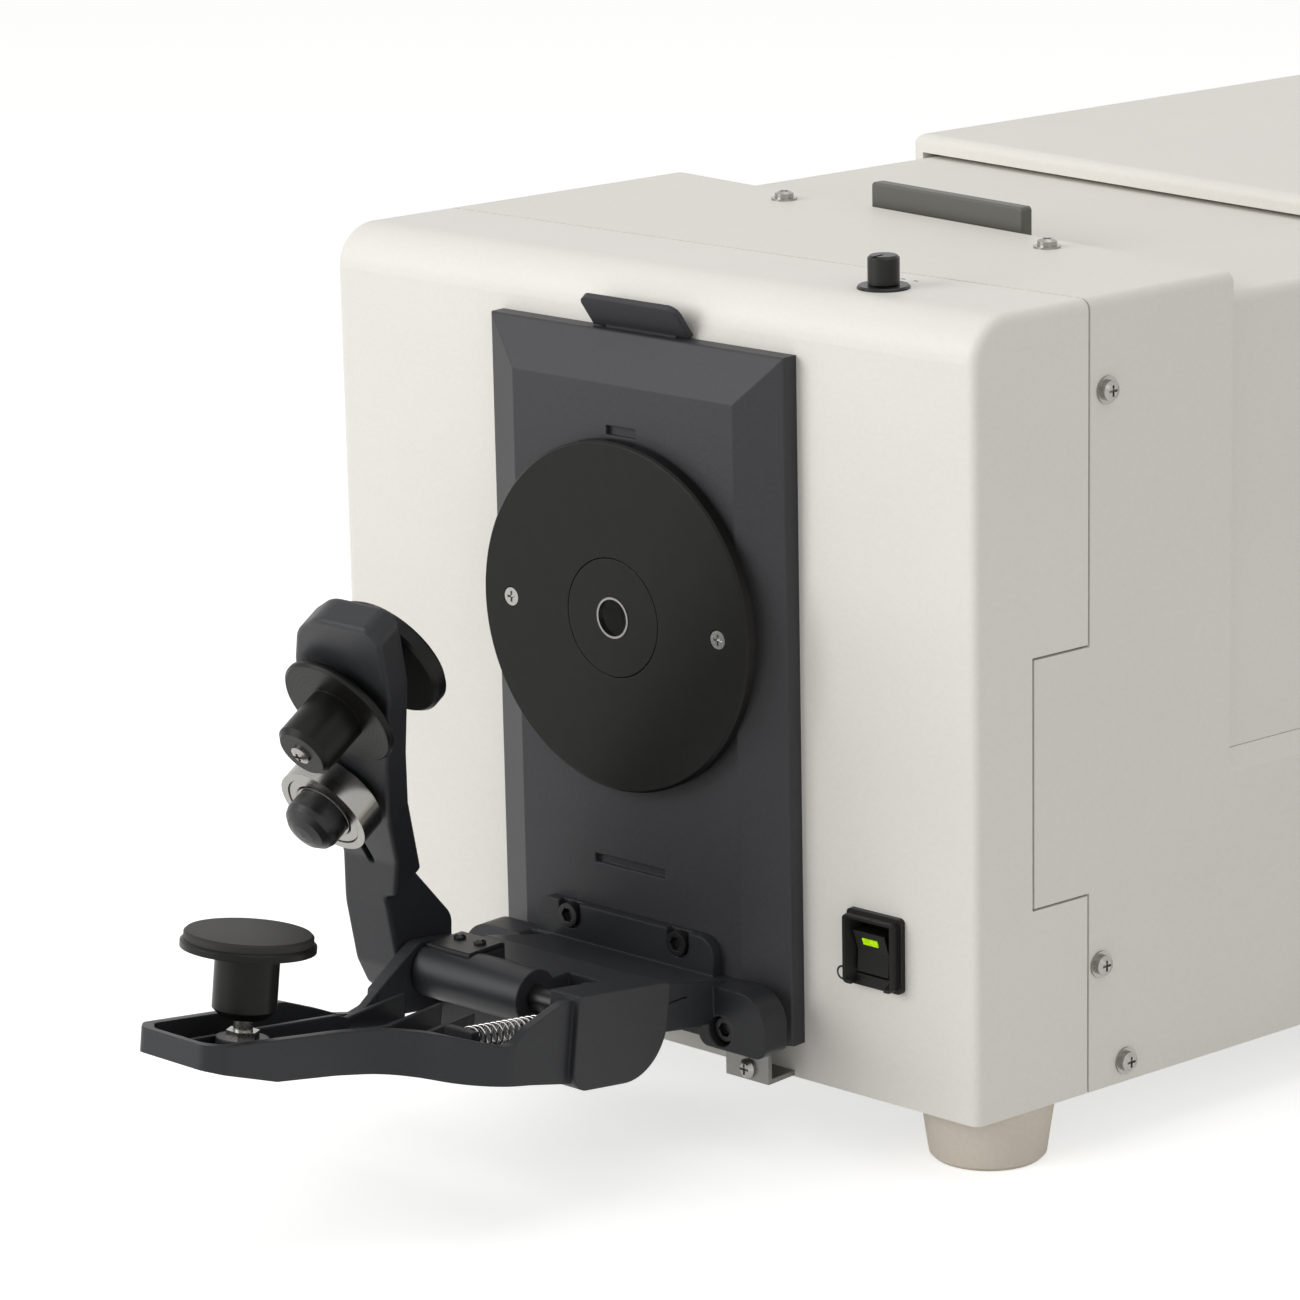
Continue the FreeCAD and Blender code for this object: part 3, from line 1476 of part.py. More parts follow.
def bearing_balls():
    """Balls between the rings."""
    shapes = []
    pitch = (bearing_outer_race + bearing_inner_race) / 2
    middle = arm_front + bearing_seat_height + bearing_width / 2
    for index in range(bearing_ball_count):
        angle = math.radians(full_turn * index / bearing_ball_count)
        center = arm_spot(bearing_across + pitch * math.cos(angle), middle, bearing_rise + pitch * math.sin(angle))
        shapes.append(to_front(lean_arm(Part.makeSphere(bearing_ball, center))))
    return group(shapes)


def bearing_cap():
    """Dome cap whose pin carries the bearing."""
    pin = bearing_bore - run_gap
    low = -bearing_pin_depth
    face = bearing_width + cap_shoulder
    profile = [(0, low), (pin, low), (pin, bearing_width), (bearing_seat_radius, bearing_width),
               (bearing_seat_radius, face), (cap_radius, face)]
    for wide, tall in cap_dome_shares:
        profile.append((wide * cap_radius, face + cap_skirt + tall * cap_dome))
    base = arm_spot(bearing_across, arm_front + bearing_seat_height, bearing_rise)
    return to_front(lean_arm(turned(profile, base, forward)))


def switch_bezel():
    """Switch body with a raised guard around the rocker."""
    half = bezel_width / 2
    tall = bezel_tall / 2
    points = rectangle(switch_across - half, switch_across + half, switch_height - tall, switch_height + tall)
    rim = face_prism(points, [bezel_round] * 4, 0, bezel_flange)
    guard_half = half - bezel_flange / 2
    guard_tall = tall - bezel_flange / 2
    points = rectangle(switch_across - guard_half, switch_across + guard_half,
                       switch_height - guard_tall, switch_height + guard_tall)
    guard = face_prism(points, [bezel_round] * 4, 0, bezel_guard)
    half = bezel_body_width / 2
    tall = bezel_body_tall / 2
    body = block(switch_across - half, switch_across + half, -bezel_body_depth, bezel_flange,
                 switch_height - tall, switch_height + tall)
    half = rocker_width / 2 + rocker_side_gap
    tall = rocker_half + rocker_end_gap
    deep = rectangle(switch_across - half, switch_across + half, switch_height - tall, switch_height + tall)
    wide = rectangle(switch_across - guard_half + bezel_lip, switch_across + guard_half - bezel_lip,
                     switch_height - guard_tall + bezel_lip, switch_height + guard_tall - bezel_lip)
    mouth = flared(deep, 0, wide, bezel_guard + fit_gap)
    well = block(switch_across - half, switch_across + half, -rocker_back - rocker_end_gap * 2, bezel_guard + overrun,
                 switch_height - tall, switch_height + tall)
    notch = block(switch_across - half, switch_across + half, bezel_flange, bezel_guard + overrun,
                  switch_height - bezel_tall, switch_height)
    return to_face(joined([rim, guard, body]).cut([well, notch, mouth]))


def tilt_rocker(shape):
    """Rocker to its rest tilt about the switch pivot."""
    copy = shape.copy()
    copy.rotate(spot(0, 0, switch_height), across, rocker_tilt)
    return copy


def rocker():
    """Dished rocker of the power switch."""
    points = [(rocker_front, switch_height + rocker_half), (rocker_front - rocker_dish, switch_height),
              (rocker_front, switch_height - rocker_half),
              (-rocker_back, switch_height - rocker_half + rocker_dish),
              (-rocker_back, switch_height + rocker_half - rocker_dish)]
    half = rocker_width / 2
    return to_face(tilt_rocker(side_prism(points, sharp(points), switch_across - half, switch_across + half)))


def rocker_lamp():
    """Lamp window on the upper half of the rocker."""
    points = []
    for share, proud in ((lamp_low_share, 0), (lamp_high_share, 0), (lamp_high_share, lamp_proud),
                         (lamp_low_share, lamp_proud)):
        ahead = rocker_front - rocker_dish * (1 - share) + proud
        points.append((ahead, switch_height + share * rocker_half))
    half = lamp_width / 2
    return to_face(tilt_rocker(side_prism(points, sharp(points), switch_across - half, switch_across + half)))


def selector_knob():
    """Round selector knob with a pointer groove and spindle."""
    seat = body_height + knob_flange_thick + fit_gap
    profile = [(0, -spindle_depth), (spindle_radius, -spindle_depth), (spindle_radius, 0), (knob_radius, 0),
               (knob_radius, knob_height - knob_edge), (knob_radius - knob_edge, knob_height), (0, knob_height)]
    whole = turned(profile, spot(knob_across, -knob_setback, seat), up)
    top = seat + knob_height
    groove = block(knob_across - pointer_width / 2, knob_across + pointer_width / 2, -knob_setback,
                   knob_radius + overrun - knob_setback, top - pointer_depth, top + overrun)
    return to_face(whole.cut(groove))


def knob_flange():
    """Washer plate under the knob."""
    inside = spindle_radius + fit_gap
    edge = knob_flange_thick / 2
    profile = [(inside, 0), (knob_flange_radius, 0), (knob_flange_radius, edge),
               (knob_flange_radius - edge, knob_flange_thick), (inside, knob_flange_thick)]
    return to_face(turned(profile, spot(knob_across, -knob_setback, body_height), up))


def selector_switch():
    """Rotary switch body under the top wall."""
    high = body_height - shell_wall
    body = block(knob_across - selector_half, knob_across + selector_half, -knob_setback - selector_half,
                 selector_half - knob_setback, high - selector_depth, high)
    bore = rod(spot(knob_across, -knob_setback, high - selector_depth / 2), up, spindle_radius + run_gap,
               selector_depth)
    return to_face(body.cut(bore))


def sphere_center():
    """Middle of the integrating sphere in aperture coordinates."""
    return spot(0, -sphere_depth, port_height)


def sphere_cuts():
    """Bores of the sphere in body coordinates."""
    port = to_front(rod(spot(0, plate_plateau + overrun, port_height), rearward, port_bore_radius,
                        plate_plateau + overrun + sphere_depth))
    leave = rod(vec(optic_across, sphere_depth, port_height), rearward, exit_bore_radius, sphere_depth * 2)
    lamp = to_front(rod(sphere_center(), up, lamp_bore_radius, sphere_radius * 2))
    hollow = to_front(Part.makeSphere(sphere_radius - sphere_wall, sphere_center()))
    return [port, leave, lamp, hollow]


def sphere_front():
    """Front half of the integrating sphere with the port tube."""
    ball = Part.makeSphere(sphere_radius, sphere_center())
    reach = sphere_radius * 2
    keep = block(-reach, reach, -sphere_depth, reach, port_height - reach, port_height + reach)
    tube = rod(spot(0, plate_plateau, port_height), rearward, port_tube_radius,
               plate_plateau + sphere_depth - sphere_radius / 2)
    return to_front(joined([ball.common(keep), tube])).cut(sphere_cuts())


def sphere_rear():
    """Rear half of the integrating sphere."""
    ball = Part.makeSphere(sphere_radius, sphere_center())
    reach = sphere_radius * 2
    keep = block(-reach, reach, -sphere_depth - reach, -sphere_depth, port_height - reach, port_height + reach)
    return to_front(ball.common(keep)).cut(sphere_cuts())


def sphere_stand():
    """Column under the sphere."""
    top = port_height - sphere_radius + stand_lap
    column = block(-stand_half, stand_half, -sphere_depth - stand_half, stand_half - sphere_depth, base_top, top)
    return to_front(column.cut(Part.makeSphere(sphere_radius, sphere_center())))


def lamp_housing():
    """Lamp pot on top of the sphere."""
    base = spot(0, -sphere_depth, port_height)
    pot = rod(base, up, lamp_house_radius, lamp_house_top - port_height)
    return to_front(pot.cut(Part.makeSphere(sphere_radius, sphere_center())))


def chamber_front_wall():
    """Wall between the front section and the sample chamber."""
    side = inner_half - fit_gap
    plate = box(-side, side, front_section_end - chamber_wall, front_section_end, base_top,
                body_height - shell_wall - fit_gap)
    hole = rod(vec(optic_across, 0, port_height), rearward, window_radius, front_section_end + overrun)
    return plate.cut(hole)


def chamber_side():
    """Half width of the chamber pieces inside the lid."""
    return lid_half - lid_wall - chamber_side_gap


def chamber_rear_wall():
    """Wall between the chamber and the receiving optics."""
    side = chamber_side()
    begin = front_section_end + chamber_length
    plate = box(-side, side, begin, begin + chamber_wall, ledge_top, lid_top - lid_wall - chamber_top_gap)
    hole = rod(vec(optic_across, begin - overrun, port_height), rearward, window_radius, chamber_wall + overrun * 2)
    return plate.cut(hole)


def chamber_floor():
    """Floor of the chamber on the tub flanges."""
    side = chamber_side()
    return box(-side, side, front_section_end, front_section_end + chamber_length, ledge_top,
               ledge_top + chamber_floor_thick)


def lens_barrel():
    """Tube from the chamber wall to the spectrometer."""
    begin = front_section_end + chamber_length + chamber_wall
    length = box_start + barrel_lens_lap - begin
    base = vec(optic_across, begin, port_height)
    tube = rod(base, rearward, barrel_lens_radius, length)
    return tube.cut(rod(base, rearward, barrel_lens_bore, length))


def spectrometer_box():
    """Closed box of the spectrometer."""
    outer = box(optic_across - box_half, optic_across + box_half, box_start, box_start + box_length, base_top, box_top)
    inside = box_half - box_wall
    inner = box(optic_across - inside, optic_across + inside, box_start + box_wall,
                box_start + box_length - box_wall, base_top + box_wall, box_top - box_wall)
    hole = rod(vec(optic_across, box_start - overrun, port_height), rearward, barrel_lens_radius + fit_gap,
               box_wall + overrun)
    return outer.cut([inner, hole])


def grating():
    """Grating block on the floor of the spectrometer."""
    rear = box_start + box_length - grating_back
    return box(optic_across - grating_half, optic_across + grating_half, rear - grating_thick, rear,
               base_top + box_wall, grating_top)


def detector_board():
    """Detector board standing in the spectrometer."""
    left = optic_across - box_half + detector_inset
    begin = box_start + detector_start
    low = base_top + box_wall
    return box(left, left + detector_thick, begin, begin + detector_length, low, low + detector_height)


def main_board():
    """Main circuit board on its posts."""
    low = base_top + board_stand_off
    return box(-board_half, board_half, board_start, board_start + board_length, low, low + board_thick)


def power_supply():
    """Power supply on the base plate."""
    return box(supply_inner, supply_inner + supply_width, supply_start, supply_start + supply_length, base_top,
               base_top + supply_height)


def fan_frame():
    """Fan frame with the motor carrier and its struts."""
    half = fan_size / 2
    points = rectangle(fan_across - half, fan_across + half, fan_height - half, fan_height + half)
    frame = face_prism(points, [fan_round] * 4, -panel_front, fan_depth - panel_front)
    duct = rod(vec(fan_across, panel_front - fan_depth - overrun, fan_height), rearward, fan_duct,
               fan_depth + overrun * 2)
    motor = rod(vec(fan_across, panel_front - fan_motor_depth, fan_height), rearward, fan_motor_radius,
                fan_motor_depth)
    reach = fan_duct + fan_round / 2
    wide = box(fan_across - reach, fan_across + reach, panel_front - fan_strut, panel_front,
               fan_height - fan_strut / 2, fan_height + fan_strut / 2)
    tall = box(fan_across - fan_strut / 2, fan_across + fan_strut / 2, panel_front - fan_strut, panel_front,
               fan_height - reach, fan_height + reach)
    whole = joined([frame.cut(duct), motor, wide, tall])
    bore = rod(vec(fan_across, panel_front - fan_motor_depth - overrun, fan_height), rearward,
               fan_pin_radius + run_gap, overrun + fan_motor_depth / 2 + fan_pin_radius)
    return whole.cut(bore)


def fan_rotor():
    """Fan hub with pitched blades and a pin."""
    seat = panel_front - fan_motor_depth - fan_end_gap
    hub = rod(vec(fan_across, seat, fan_height), forward, fan_hub_radius, fan_hub_depth)
    pin = rod(vec(fan_across, seat - fan_end_gap, fan_height), rearward, fan_pin_radius,
              fan_end_gap * 2 + fan_motor_depth / 2)
    pieces = [hub, pin]
    middle = seat - fan_hub_depth / 2
    half = fan_blade_depth / 2
    for index in range(fan_blades):
        blade = box(-fan_blade_thick / 2, fan_blade_thick / 2, -half, half, 0, fan_tip_radius)
        blade.rotate(origin, up, fan_blade_pitch)
        blade.rotate(origin, rearward, full_turn * index / fan_blades)
        blade.translate(vec(fan_across, middle, fan_height))
        pieces.append(blade)
    whole = joined(pieces)
    limit = rod(vec(fan_across, panel_front - fan_depth, fan_height), rearward, fan_tip_radius, fan_depth)
    return whole.common(limit)


shapes = {
    "base_plate": base_plate(),
    "front_shell": front_shell(),
    "main_cover": main_cover(),
    "rear_cover": rear_cover(),
    "rear_panel": rear_panel(),
    "feet": feet(),
    "cover_screws": cover_screws(),
    "chamber_front_wall": chamber_front_wall(),
    "chamber_rear_wall": chamber_rear_wall(),
    "chamber_floor": chamber_floor(),
    "chamber_lid": chamber_lid(),
    "lid_handle": lid_handle(),
    "target_plate": target_plate(),
    "mask_disc": mask_disc(),
    "mask_ring": mask_ring(),
    "aperture_rim": aperture_rim(),
    "mask_screws": mask_screws(),
    "release_tab": release_tab(),
    "holder_bracket": holder_bracket(),
    "bracket_screws": bracket_screws(),
    "strap_plate": strap_plate(),
    "strap_screws": strap_screws(),
    "lower_tabs": lower_tabs(),
    "tab_screws": tab_screws(),
    "hinge_shaft": hinge_shaft(),
    "lever": lever(),
    "clamp_spring": clamp_spring(),
    "pad_stud": pad_stud(),
    "pad_nut": pad_nut(),
    "lever_pad": lever_pad(),
    "lever_pad_face": lever_pad_face(),
    "swing_arm": swing_arm(),
    "arm_inner_pad": arm_inner_pad(),
    "arm_outer_knob": arm_outer_knob(),
    "arm_knob_screw": arm_knob_screw(),
    "bearing_outer_ring": bearing_ring(bearing_outer_race, bearing_outer),
    "bearing_inner_ring": bearing_ring(bearing_bore, bearing_inner_race),
    "bearing_balls": bearing_balls(),
    "bearing_cap": bearing_cap(),
    "switch_bezel": switch_bezel(),
    "rocker": rocker(),
    "rocker_lamp": rocker_lamp(),
    "selector_knob": selector_knob(),
    "knob_flange": knob_flange(),
    "selector_switch": selector_switch(),
    "sphere_front": sphere_front(),
    "sphere_rear": sphere_rear(),
    "sphere_stand": sphere_stand(),
    "lamp_housing": lamp_housing(),
    "lens_barrel": lens_barrel(),
    "spectrometer_box": spectrometer_box(),
    "grating": grating(),
    "detector_board": detector_board(),
    "main_board": main_board(),
    "power_supply": power_supply(),
    "fan_frame": fan_frame(),
    "fan_rotor": fan_rotor(),
    "power_inlet": power_inlet(),
    "data_port": data_port(),
}

# The origin lies under the middle of the whole instrument, clamp included.
whole_box = group(list(shapes.values())).optimalBoundingBox(True, False)
origin_shift = vec(-(whole_box.XMin + whole_box.XMax) / 2, -(whole_box.YMin + whole_box.YMax) / 2, 0)
os.makedirs("parts", exist_ok=True)
for name, shape in shapes.items():
    shape.translate(origin_shift)
    shape.exportStep("parts/" + name + ".step")
print("nodes", len(shapes))
print("whole", round(whole_box.XLength, 2), round(whole_box.YLength, 2), round(whole_box.ZLength, 2))
print("shift", round(origin_shift.x, 4), round(origin_shift.y, 4))
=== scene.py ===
"""Looks of a bench spectrophotometer with a sample clamp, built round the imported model."""

import json
import math

import bmesh
import bpy
from mathutils import Matrix, Vector


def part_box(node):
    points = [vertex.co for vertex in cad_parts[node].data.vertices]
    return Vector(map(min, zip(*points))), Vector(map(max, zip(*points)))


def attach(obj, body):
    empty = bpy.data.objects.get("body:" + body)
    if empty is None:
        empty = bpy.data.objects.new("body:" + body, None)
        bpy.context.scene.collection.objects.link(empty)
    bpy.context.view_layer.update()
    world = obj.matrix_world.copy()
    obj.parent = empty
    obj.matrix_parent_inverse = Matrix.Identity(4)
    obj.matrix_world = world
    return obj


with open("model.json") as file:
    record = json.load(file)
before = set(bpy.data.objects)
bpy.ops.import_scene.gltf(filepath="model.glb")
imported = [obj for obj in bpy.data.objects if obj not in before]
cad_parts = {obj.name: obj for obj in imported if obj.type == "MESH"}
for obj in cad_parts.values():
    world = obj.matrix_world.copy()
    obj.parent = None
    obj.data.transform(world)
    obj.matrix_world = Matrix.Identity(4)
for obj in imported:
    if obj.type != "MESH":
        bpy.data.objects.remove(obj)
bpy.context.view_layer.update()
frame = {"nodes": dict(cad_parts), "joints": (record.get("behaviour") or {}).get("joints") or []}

bl_info = {
    "name": "Bench spectrophotometer",
    "version": (1, 0, 0),
    "blender": (4, 5, 0),
    "location": "3D View > Sidebar > Instrument",
    "description": "Finishes, printed marks and studio of a bench spectrophotometer",
    "category": "Object",
}

MILLI = 0.001

# Directions of the front, which is turned in plan, read from the rocker's hinge
JOINTS = {joint["name"]: joint for joint in frame["joints"]}
ACROSS = -Vector(JOINTS["rocker_tilt"]["axis"])
UP = Vector((0.0, 0.0, 1.0))
FORWARD = ACROSS.cross(UP)

# Bearing shields in millimetres: half the bearing's width, then radius and rise over its face
BEARING_HALF = 4.5
SHIELD_PROFILE = ((13.3, -0.9), (13.3, -0.5), (12.9, -0.3), (10.6, -0.3), (10.2, -0.6),
                  (10.2, -0.9))
SPIN_STEPS = 72

# Printed marks in metres: across and up from the rocker, across and back from the knob
OFF_RING_AT = (-0.0146, -0.0105)
ON_BAR_AT = (-0.0130, 0.0070)
SELECTOR_TICKS = ((-0.0043, 0.0144), (0.0010, 0.0142))
BAR_CORNER_SHARE = 0.4
BAR_CORNER_STEPS = 3

# A wave texture counts 20 radians for each unit of its scale
WAVE_TURN = math.tau / 20
# Nearly all of a noise texture's values lie between these two
NOISE_LOW = 0.3
NOISE_HIGH = 0.7
EDGE_SAMPLES = 4
PATCH_MM = 60
# Real tool marks are finer than a pixel, so they are drawn this coarse to show
TOOL_RING_MM = 1.6
TURNED_EDGE_MM = 0.5
TURNED_DEPTH_MM = 0.006
DUST_MM = 5
SCUFF_DEPTH_MM = 0.003
LENS_CELL_MM = 1.6
TRACK_MM = 10
# Real rulings can't be seen one by one, so they are drawn this coarse to show
RULING_MM = 1.5

# Studio in metres and watts: name, place, side and power of each softbox
PAPER_WHITE = (1.0, 1.0, 1.0, 1.0)
FLOOR_GLOW = 0.55
ROOM_LEVEL = 0.5
SOFTBOX_AIM = (0.02, -0.2, 0.15)
SOFTBOXES = (("key_softbox", (-0.9, -2.5, 1.1), 1.7, 40.0),
             ("side_softbox", (2.2, -0.5, 1.3), 1.4, 5.0),
             ("top_softbox", (0.1, 0.3, 2.3), 1.6, 8.0))

# Camera in metres, radians and millimetres
CAMERA_PLACE = (1.2201, -1.1242, 0.5680)
CAMERA_AZIMUTH = math.radians(50.897)
CAMERA_ELEVATION = math.radians(14.888)
CAMERA_ROLL = math.radians(-1.198)
CAMERA_LENS = 140.49
CAMERA_CLIP_END = 40


def linear(code):
    """Linear colour with alpha of an sRGB hex value."""
    parts = [int(code[i:i + 2], 16) / 255 for i in (0, 2, 4)]
    return tuple(c / 12.92 if c <= 0.04045 else ((c + 0.055) / 1.055) ** 2.4
                 for c in parts) + (1.0,)


def per_metre(size_mm):
    """Texture scale whose features are about that many millimetres wide."""
    return 1 / (size_mm * MILLI)


def tone(colour, share):
    """The colour with its brightness multiplied by a share."""
    return tuple(min(1.0, c * share) for c in colour[:3]) + (1.0,)


def add(tree, kind, inputs=None, stops=(), **settings):
    """Adds a node, sets its properties and colour stops, and sets or links its sockets."""
    node = tree.nodes.new(kind)
    for name, value in settings.items():
        setattr(node, name, value)
    for index, (position, colour) in enumerate(stops):
        element = node.color_ramp.elements[index]
        element.position, element.color = position, colour
    for name, value in (inputs or {}).items():
        socket = node.inputs[name]
        if isinstance(value, bpy.types.NodeSocket):
            tree.links.new(value, socket)
        else:
            socket.default_value = value
    return node


def new_material(name):
    """An empty node material and its tree."""
    material = bpy.data.materials.new(name)
    material.use_nodes = True
    material.node_tree.nodes.clear()
    return material, material.node_tree


def coated(name, colour, grain_mm, depth_mm, roughness, ior=1.5, drift=0.05, edge_mm=0.0,
           gleam=0.5):
    """Moulded plastic or textured paint: a fine pebbled grain breaks up the gloss,
    a broad, faint drift of colour and roughness keeps large faces from looking flat,
    and the edges are soft, as paint and moulds leave them, so they catch a line of light.
    The grain is coarser than a real one, which would be finer than a pixel."""
    material, tree = new_material(name)
    place = add(tree, "ShaderNodeTexCoord").outputs["Object"]
    grain = add(tree, "ShaderNodeTexNoise",
                {"Vector": place, "Scale": per_metre(grain_mm), "Detail": 3.0,
                 "Roughness": 0.55}).outputs["Fac"]
    patch = add(tree, "ShaderNodeTexNoise",
                {"Vector": place, "Scale": per_metre(PATCH_MM), "Detail": 4.0}).outputs["Fac"]
    mixed = add(tree, "ShaderNodeMix", {"Factor": 0.5, "A": grain, "B": patch})
    body = add(tree, "ShaderNodeValToRGB", {"Fac": mixed.outputs["Result"]},
               stops=((NOISE_LOW, tone(colour, 1 - drift)),
                      (NOISE_HIGH, tone(colour, 1 + drift))))
    gloss = add(tree, "ShaderNodeMapRange",
                {"Value": patch, "To Min": roughness - 0.05, "To Max": roughness + 0.06})
    bump = {"Height": grain, "Strength": 0.6, "Distance": depth_mm * MILLI}
    if edge_mm:
        edge = add(tree, "ShaderNodeBevel", {"Radius": edge_mm * MILLI}, samples=EDGE_SAMPLES)
        bump["Normal"] = edge.outputs["Normal"]
    relief = add(tree, "ShaderNodeBump", bump)
    shader = add(tree, "ShaderNodeBsdfPrincipled",
                 {"Base Color": body.outputs["Color"], "Roughness": gloss.outputs["Result"],
                  "Normal": relief.outputs["Normal"], "IOR": ior, "Specular IOR Level": gleam})
    add(tree, "ShaderNodeOutputMaterial", {"Surface": shader.outputs["BSDF"]})
    return material


def turned_black(name, colour, axis_at, axis, roughness):
    """Black anodised aluminium, turned on a lathe: faint concentric tool rings
    about the disc's axis that draw a soft streak of light."""
    material, tree = new_material(name)
    place = add(tree, "ShaderNodeTexCoord").outputs["Object"]
    upright = Vector(axis).rotation_difference(UP).to_euler()
    shifted = add(tree, "ShaderNodeVectorMath", {0: place, 1: axis_at}, operation="SUBTRACT")
    turned = add(tree, "ShaderNodeVectorRotate",
                 {"Vector": shifted.outputs["Vector"], "Rotation": upright},
                 rotation_type="EULER_XYZ")
    rings = add(tree, "ShaderNodeTexWave",
                {"Vector": turned.outputs["Vector"],
                 "Scale": per_metre(TOOL_RING_MM) * WAVE_TURN, "Distortion": 0.3, "Detail": 2.0},
                wave_type="RINGS", rings_direction="Z").outputs["Fac"]
    dust = add(tree, "ShaderNodeTexNoise",
               {"Vector": place, "Scale": per_metre(DUST_MM), "Detail": 6.0})
    body = add(tree, "ShaderNodeValToRGB", {"Fac": dust.outputs["Fac"]},
               stops=((NOISE_LOW, tone(colour, 0.85)), (0.75, tone(colour, 1.2))))
    gloss = add(tree, "ShaderNodeMapRange",
                {"Value": rings, "To Min": roughness - 0.03, "To Max": roughness + 0.03})
    edge = add(tree, "ShaderNodeBevel", {"Radius": TURNED_EDGE_MM * MILLI}, samples=EDGE_SAMPLES)
    relief = add(tree, "ShaderNodeBump",
                 {"Height": rings, "Strength": 0.15, "Distance": TURNED_DEPTH_MM * MILLI,
                  "Normal": edge.outputs["Normal"]})
    shader = add(tree, "ShaderNodeBsdfPrincipled",
                 {"Base Color": body.outputs["Color"], "Roughness": gloss.outputs["Result"],
                  "Normal": relief.outputs["Normal"], "IOR": 1.55, "Specular IOR Level": 0.16})
    add(tree, "ShaderNodeOutputMaterial", {"Surface": shader.outputs["BSDF"]})
    return material


def plated(name, colour, roughness, scratch_mm=0.6):
    """Plated or ground steel: metallic, with fine scuffs that vary its gloss."""
    material, tree = new_material(name)
    place = add(tree, "ShaderNodeTexCoord").outputs["Object"]
    scuff = add(tree, "ShaderNodeTexNoise",
                {"Vector": place, "Scale": per_metre(scratch_mm), "Detail": 5.0,
                 "Distortion": 1.5}).outputs["Fac"]
    body = add(tree, "ShaderNodeValToRGB", {"Fac": scuff},
               stops=((NOISE_LOW, tone(colour, 0.93)), (NOISE_HIGH, tone(colour, 1.04))))
    gloss = add(tree, "ShaderNodeMapRange",
                {"Value": scuff, "To Min": roughness - 0.04, "To Max": roughness + 0.06})
    relief = add(tree, "ShaderNodeBump",
                 {"Height": scuff, "Strength": 0.2, "Distance": SCUFF_DEPTH_MM * MILLI})
    shader = add(tree, "ShaderNodeBsdfPrincipled",
                 {"Base Color": body.outputs["Color"], "Roughness": gloss.outputs["Result"],
                  "Normal": relief.outputs["Normal"], "Metallic": 1.0})
    add(tree, "ShaderNodeOutputMaterial", {"Surface": shader.outputs["BSDF"]})
    return material


def lens_plastic(name, colour):
    """Clear tinted acrylic over a lit chip: saturated, with a paler, brighter middle."""
    material, tree = new_material(name)
    place = add(tree, "ShaderNodeTexCoord").outputs["Object"]
    cells = add(tree, "ShaderNodeTexVoronoi",
                {"Vector": place, "Scale": per_metre(LENS_CELL_MM)})
    body = add(tree, "ShaderNodeValToRGB", {"Fac": cells.outputs["Distance"]},
               stops=((0.0, tone(colour, 1.15)), (0.7, tone(colour, 0.8)))).outputs["Color"]
    shader = add(tree, "ShaderNodeBsdfPrincipled",
                 {"Base Color": body, "Roughness": 0.18, "IOR": 1.49, "Emission Color": body,
                  "Emission Strength": 0.35})
    add(tree, "ShaderNodeOutputMaterial", {"Surface": shader.outputs["BSDF"]})
    return material


def circuit_board(name, colour):
    """Glass-epoxy board under green solder mask: a grid of pads and paler traces."""
    material, tree = new_material(name)
    place = add(tree, "ShaderNodeTexCoord").outputs["Object"]
    tracks = add(tree, "ShaderNodeTexBrick",
                 {"Vector": place, "Color1": colour, "Color2": tone(colour, 0.8),
                  "Mortar": tone(colour, 1.9), "Scale": per_metre(TRACK_MM),
                  "Mortar Size": 0.03})
    shader = add(tree, "ShaderNodeBsdfPrincipled",
                 {"Base Color": tracks.outputs["Color"], "Roughness": 0.35, "IOR": 1.5})
    add(tree, "ShaderNodeOutputMaterial", {"Surface": shader.outputs["BSDF"]})
    return material


def ruled_glass(name, colour):
    """Aluminised glass with ruled lines: a mirror with faint, even darker stripes."""
    material, tree = new_material(name)
    place = add(tree, "ShaderNodeTexCoord").outputs["Object"]
    lines = add(tree, "ShaderNodeTexWave",
                {"Vector": place, "Scale": per_metre(RULING_MM) * WAVE_TURN, "Distortion": 0.0},
                wave_type="BANDS", bands_direction="X")
    body = add(tree, "ShaderNodeValToRGB", {"Fac": lines.outputs["Fac"]},
               stops=((0.0, tone(colour, 0.75)), (1.0, colour)))
    shader = add(tree, "ShaderNodeBsdfPrincipled",
                 {"Base Color": body.outputs["Color"], "Roughness": 0.1, "Metallic": 1.0})
    add(tree, "ShaderNodeOutputMaterial", {"Surface": shader.outputs["BSDF"]})
    return material


def dress(material, *nodes):
    """Gives CAD nodes a finish."""
    for name in nodes:
        slots = frame["nodes"][name].data.materials
        slots.clear()
        slots.append(material)


def make_piece(maker, name, material):
    """Turns a bmesh into an object of the scene."""
    mesh = bpy.data.meshes.new(name)
    maker.normal_update()
    maker.to_mesh(mesh)
    maker.free()
    mesh.materials.append(material)
    piece = bpy.data.objects.new(name, mesh)
    bpy.context.scene.collection.objects.link(piece)
    return piece


def settle(maker, name, body, material):
    """Makes a new piece from a bmesh and hangs it on a body."""
    piece = make_piece(maker, name, material)
    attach(piece, body)


def middle(node):
    """Middle of a CAD node's box."""
    low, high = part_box(node)
    return (low + high) / 2


def spin_closed(maker, profile):
    """Spins a closed outline in the XZ plane once round the Z axis."""
    corners = [maker.verts.new(point) for point in profile]
    outline = [maker.edges.new((corner, corners[i - 1])) for i, corner in enumerate(corners)]
    bmesh.ops.spin(maker, geom=corners + outline, cent=(0, 0, 0), axis=UP, angle=math.tau,
                   steps=SPIN_STEPS, use_merge=True)
    bmesh.ops.recalc_face_normals(maker, faces=maker.faces)


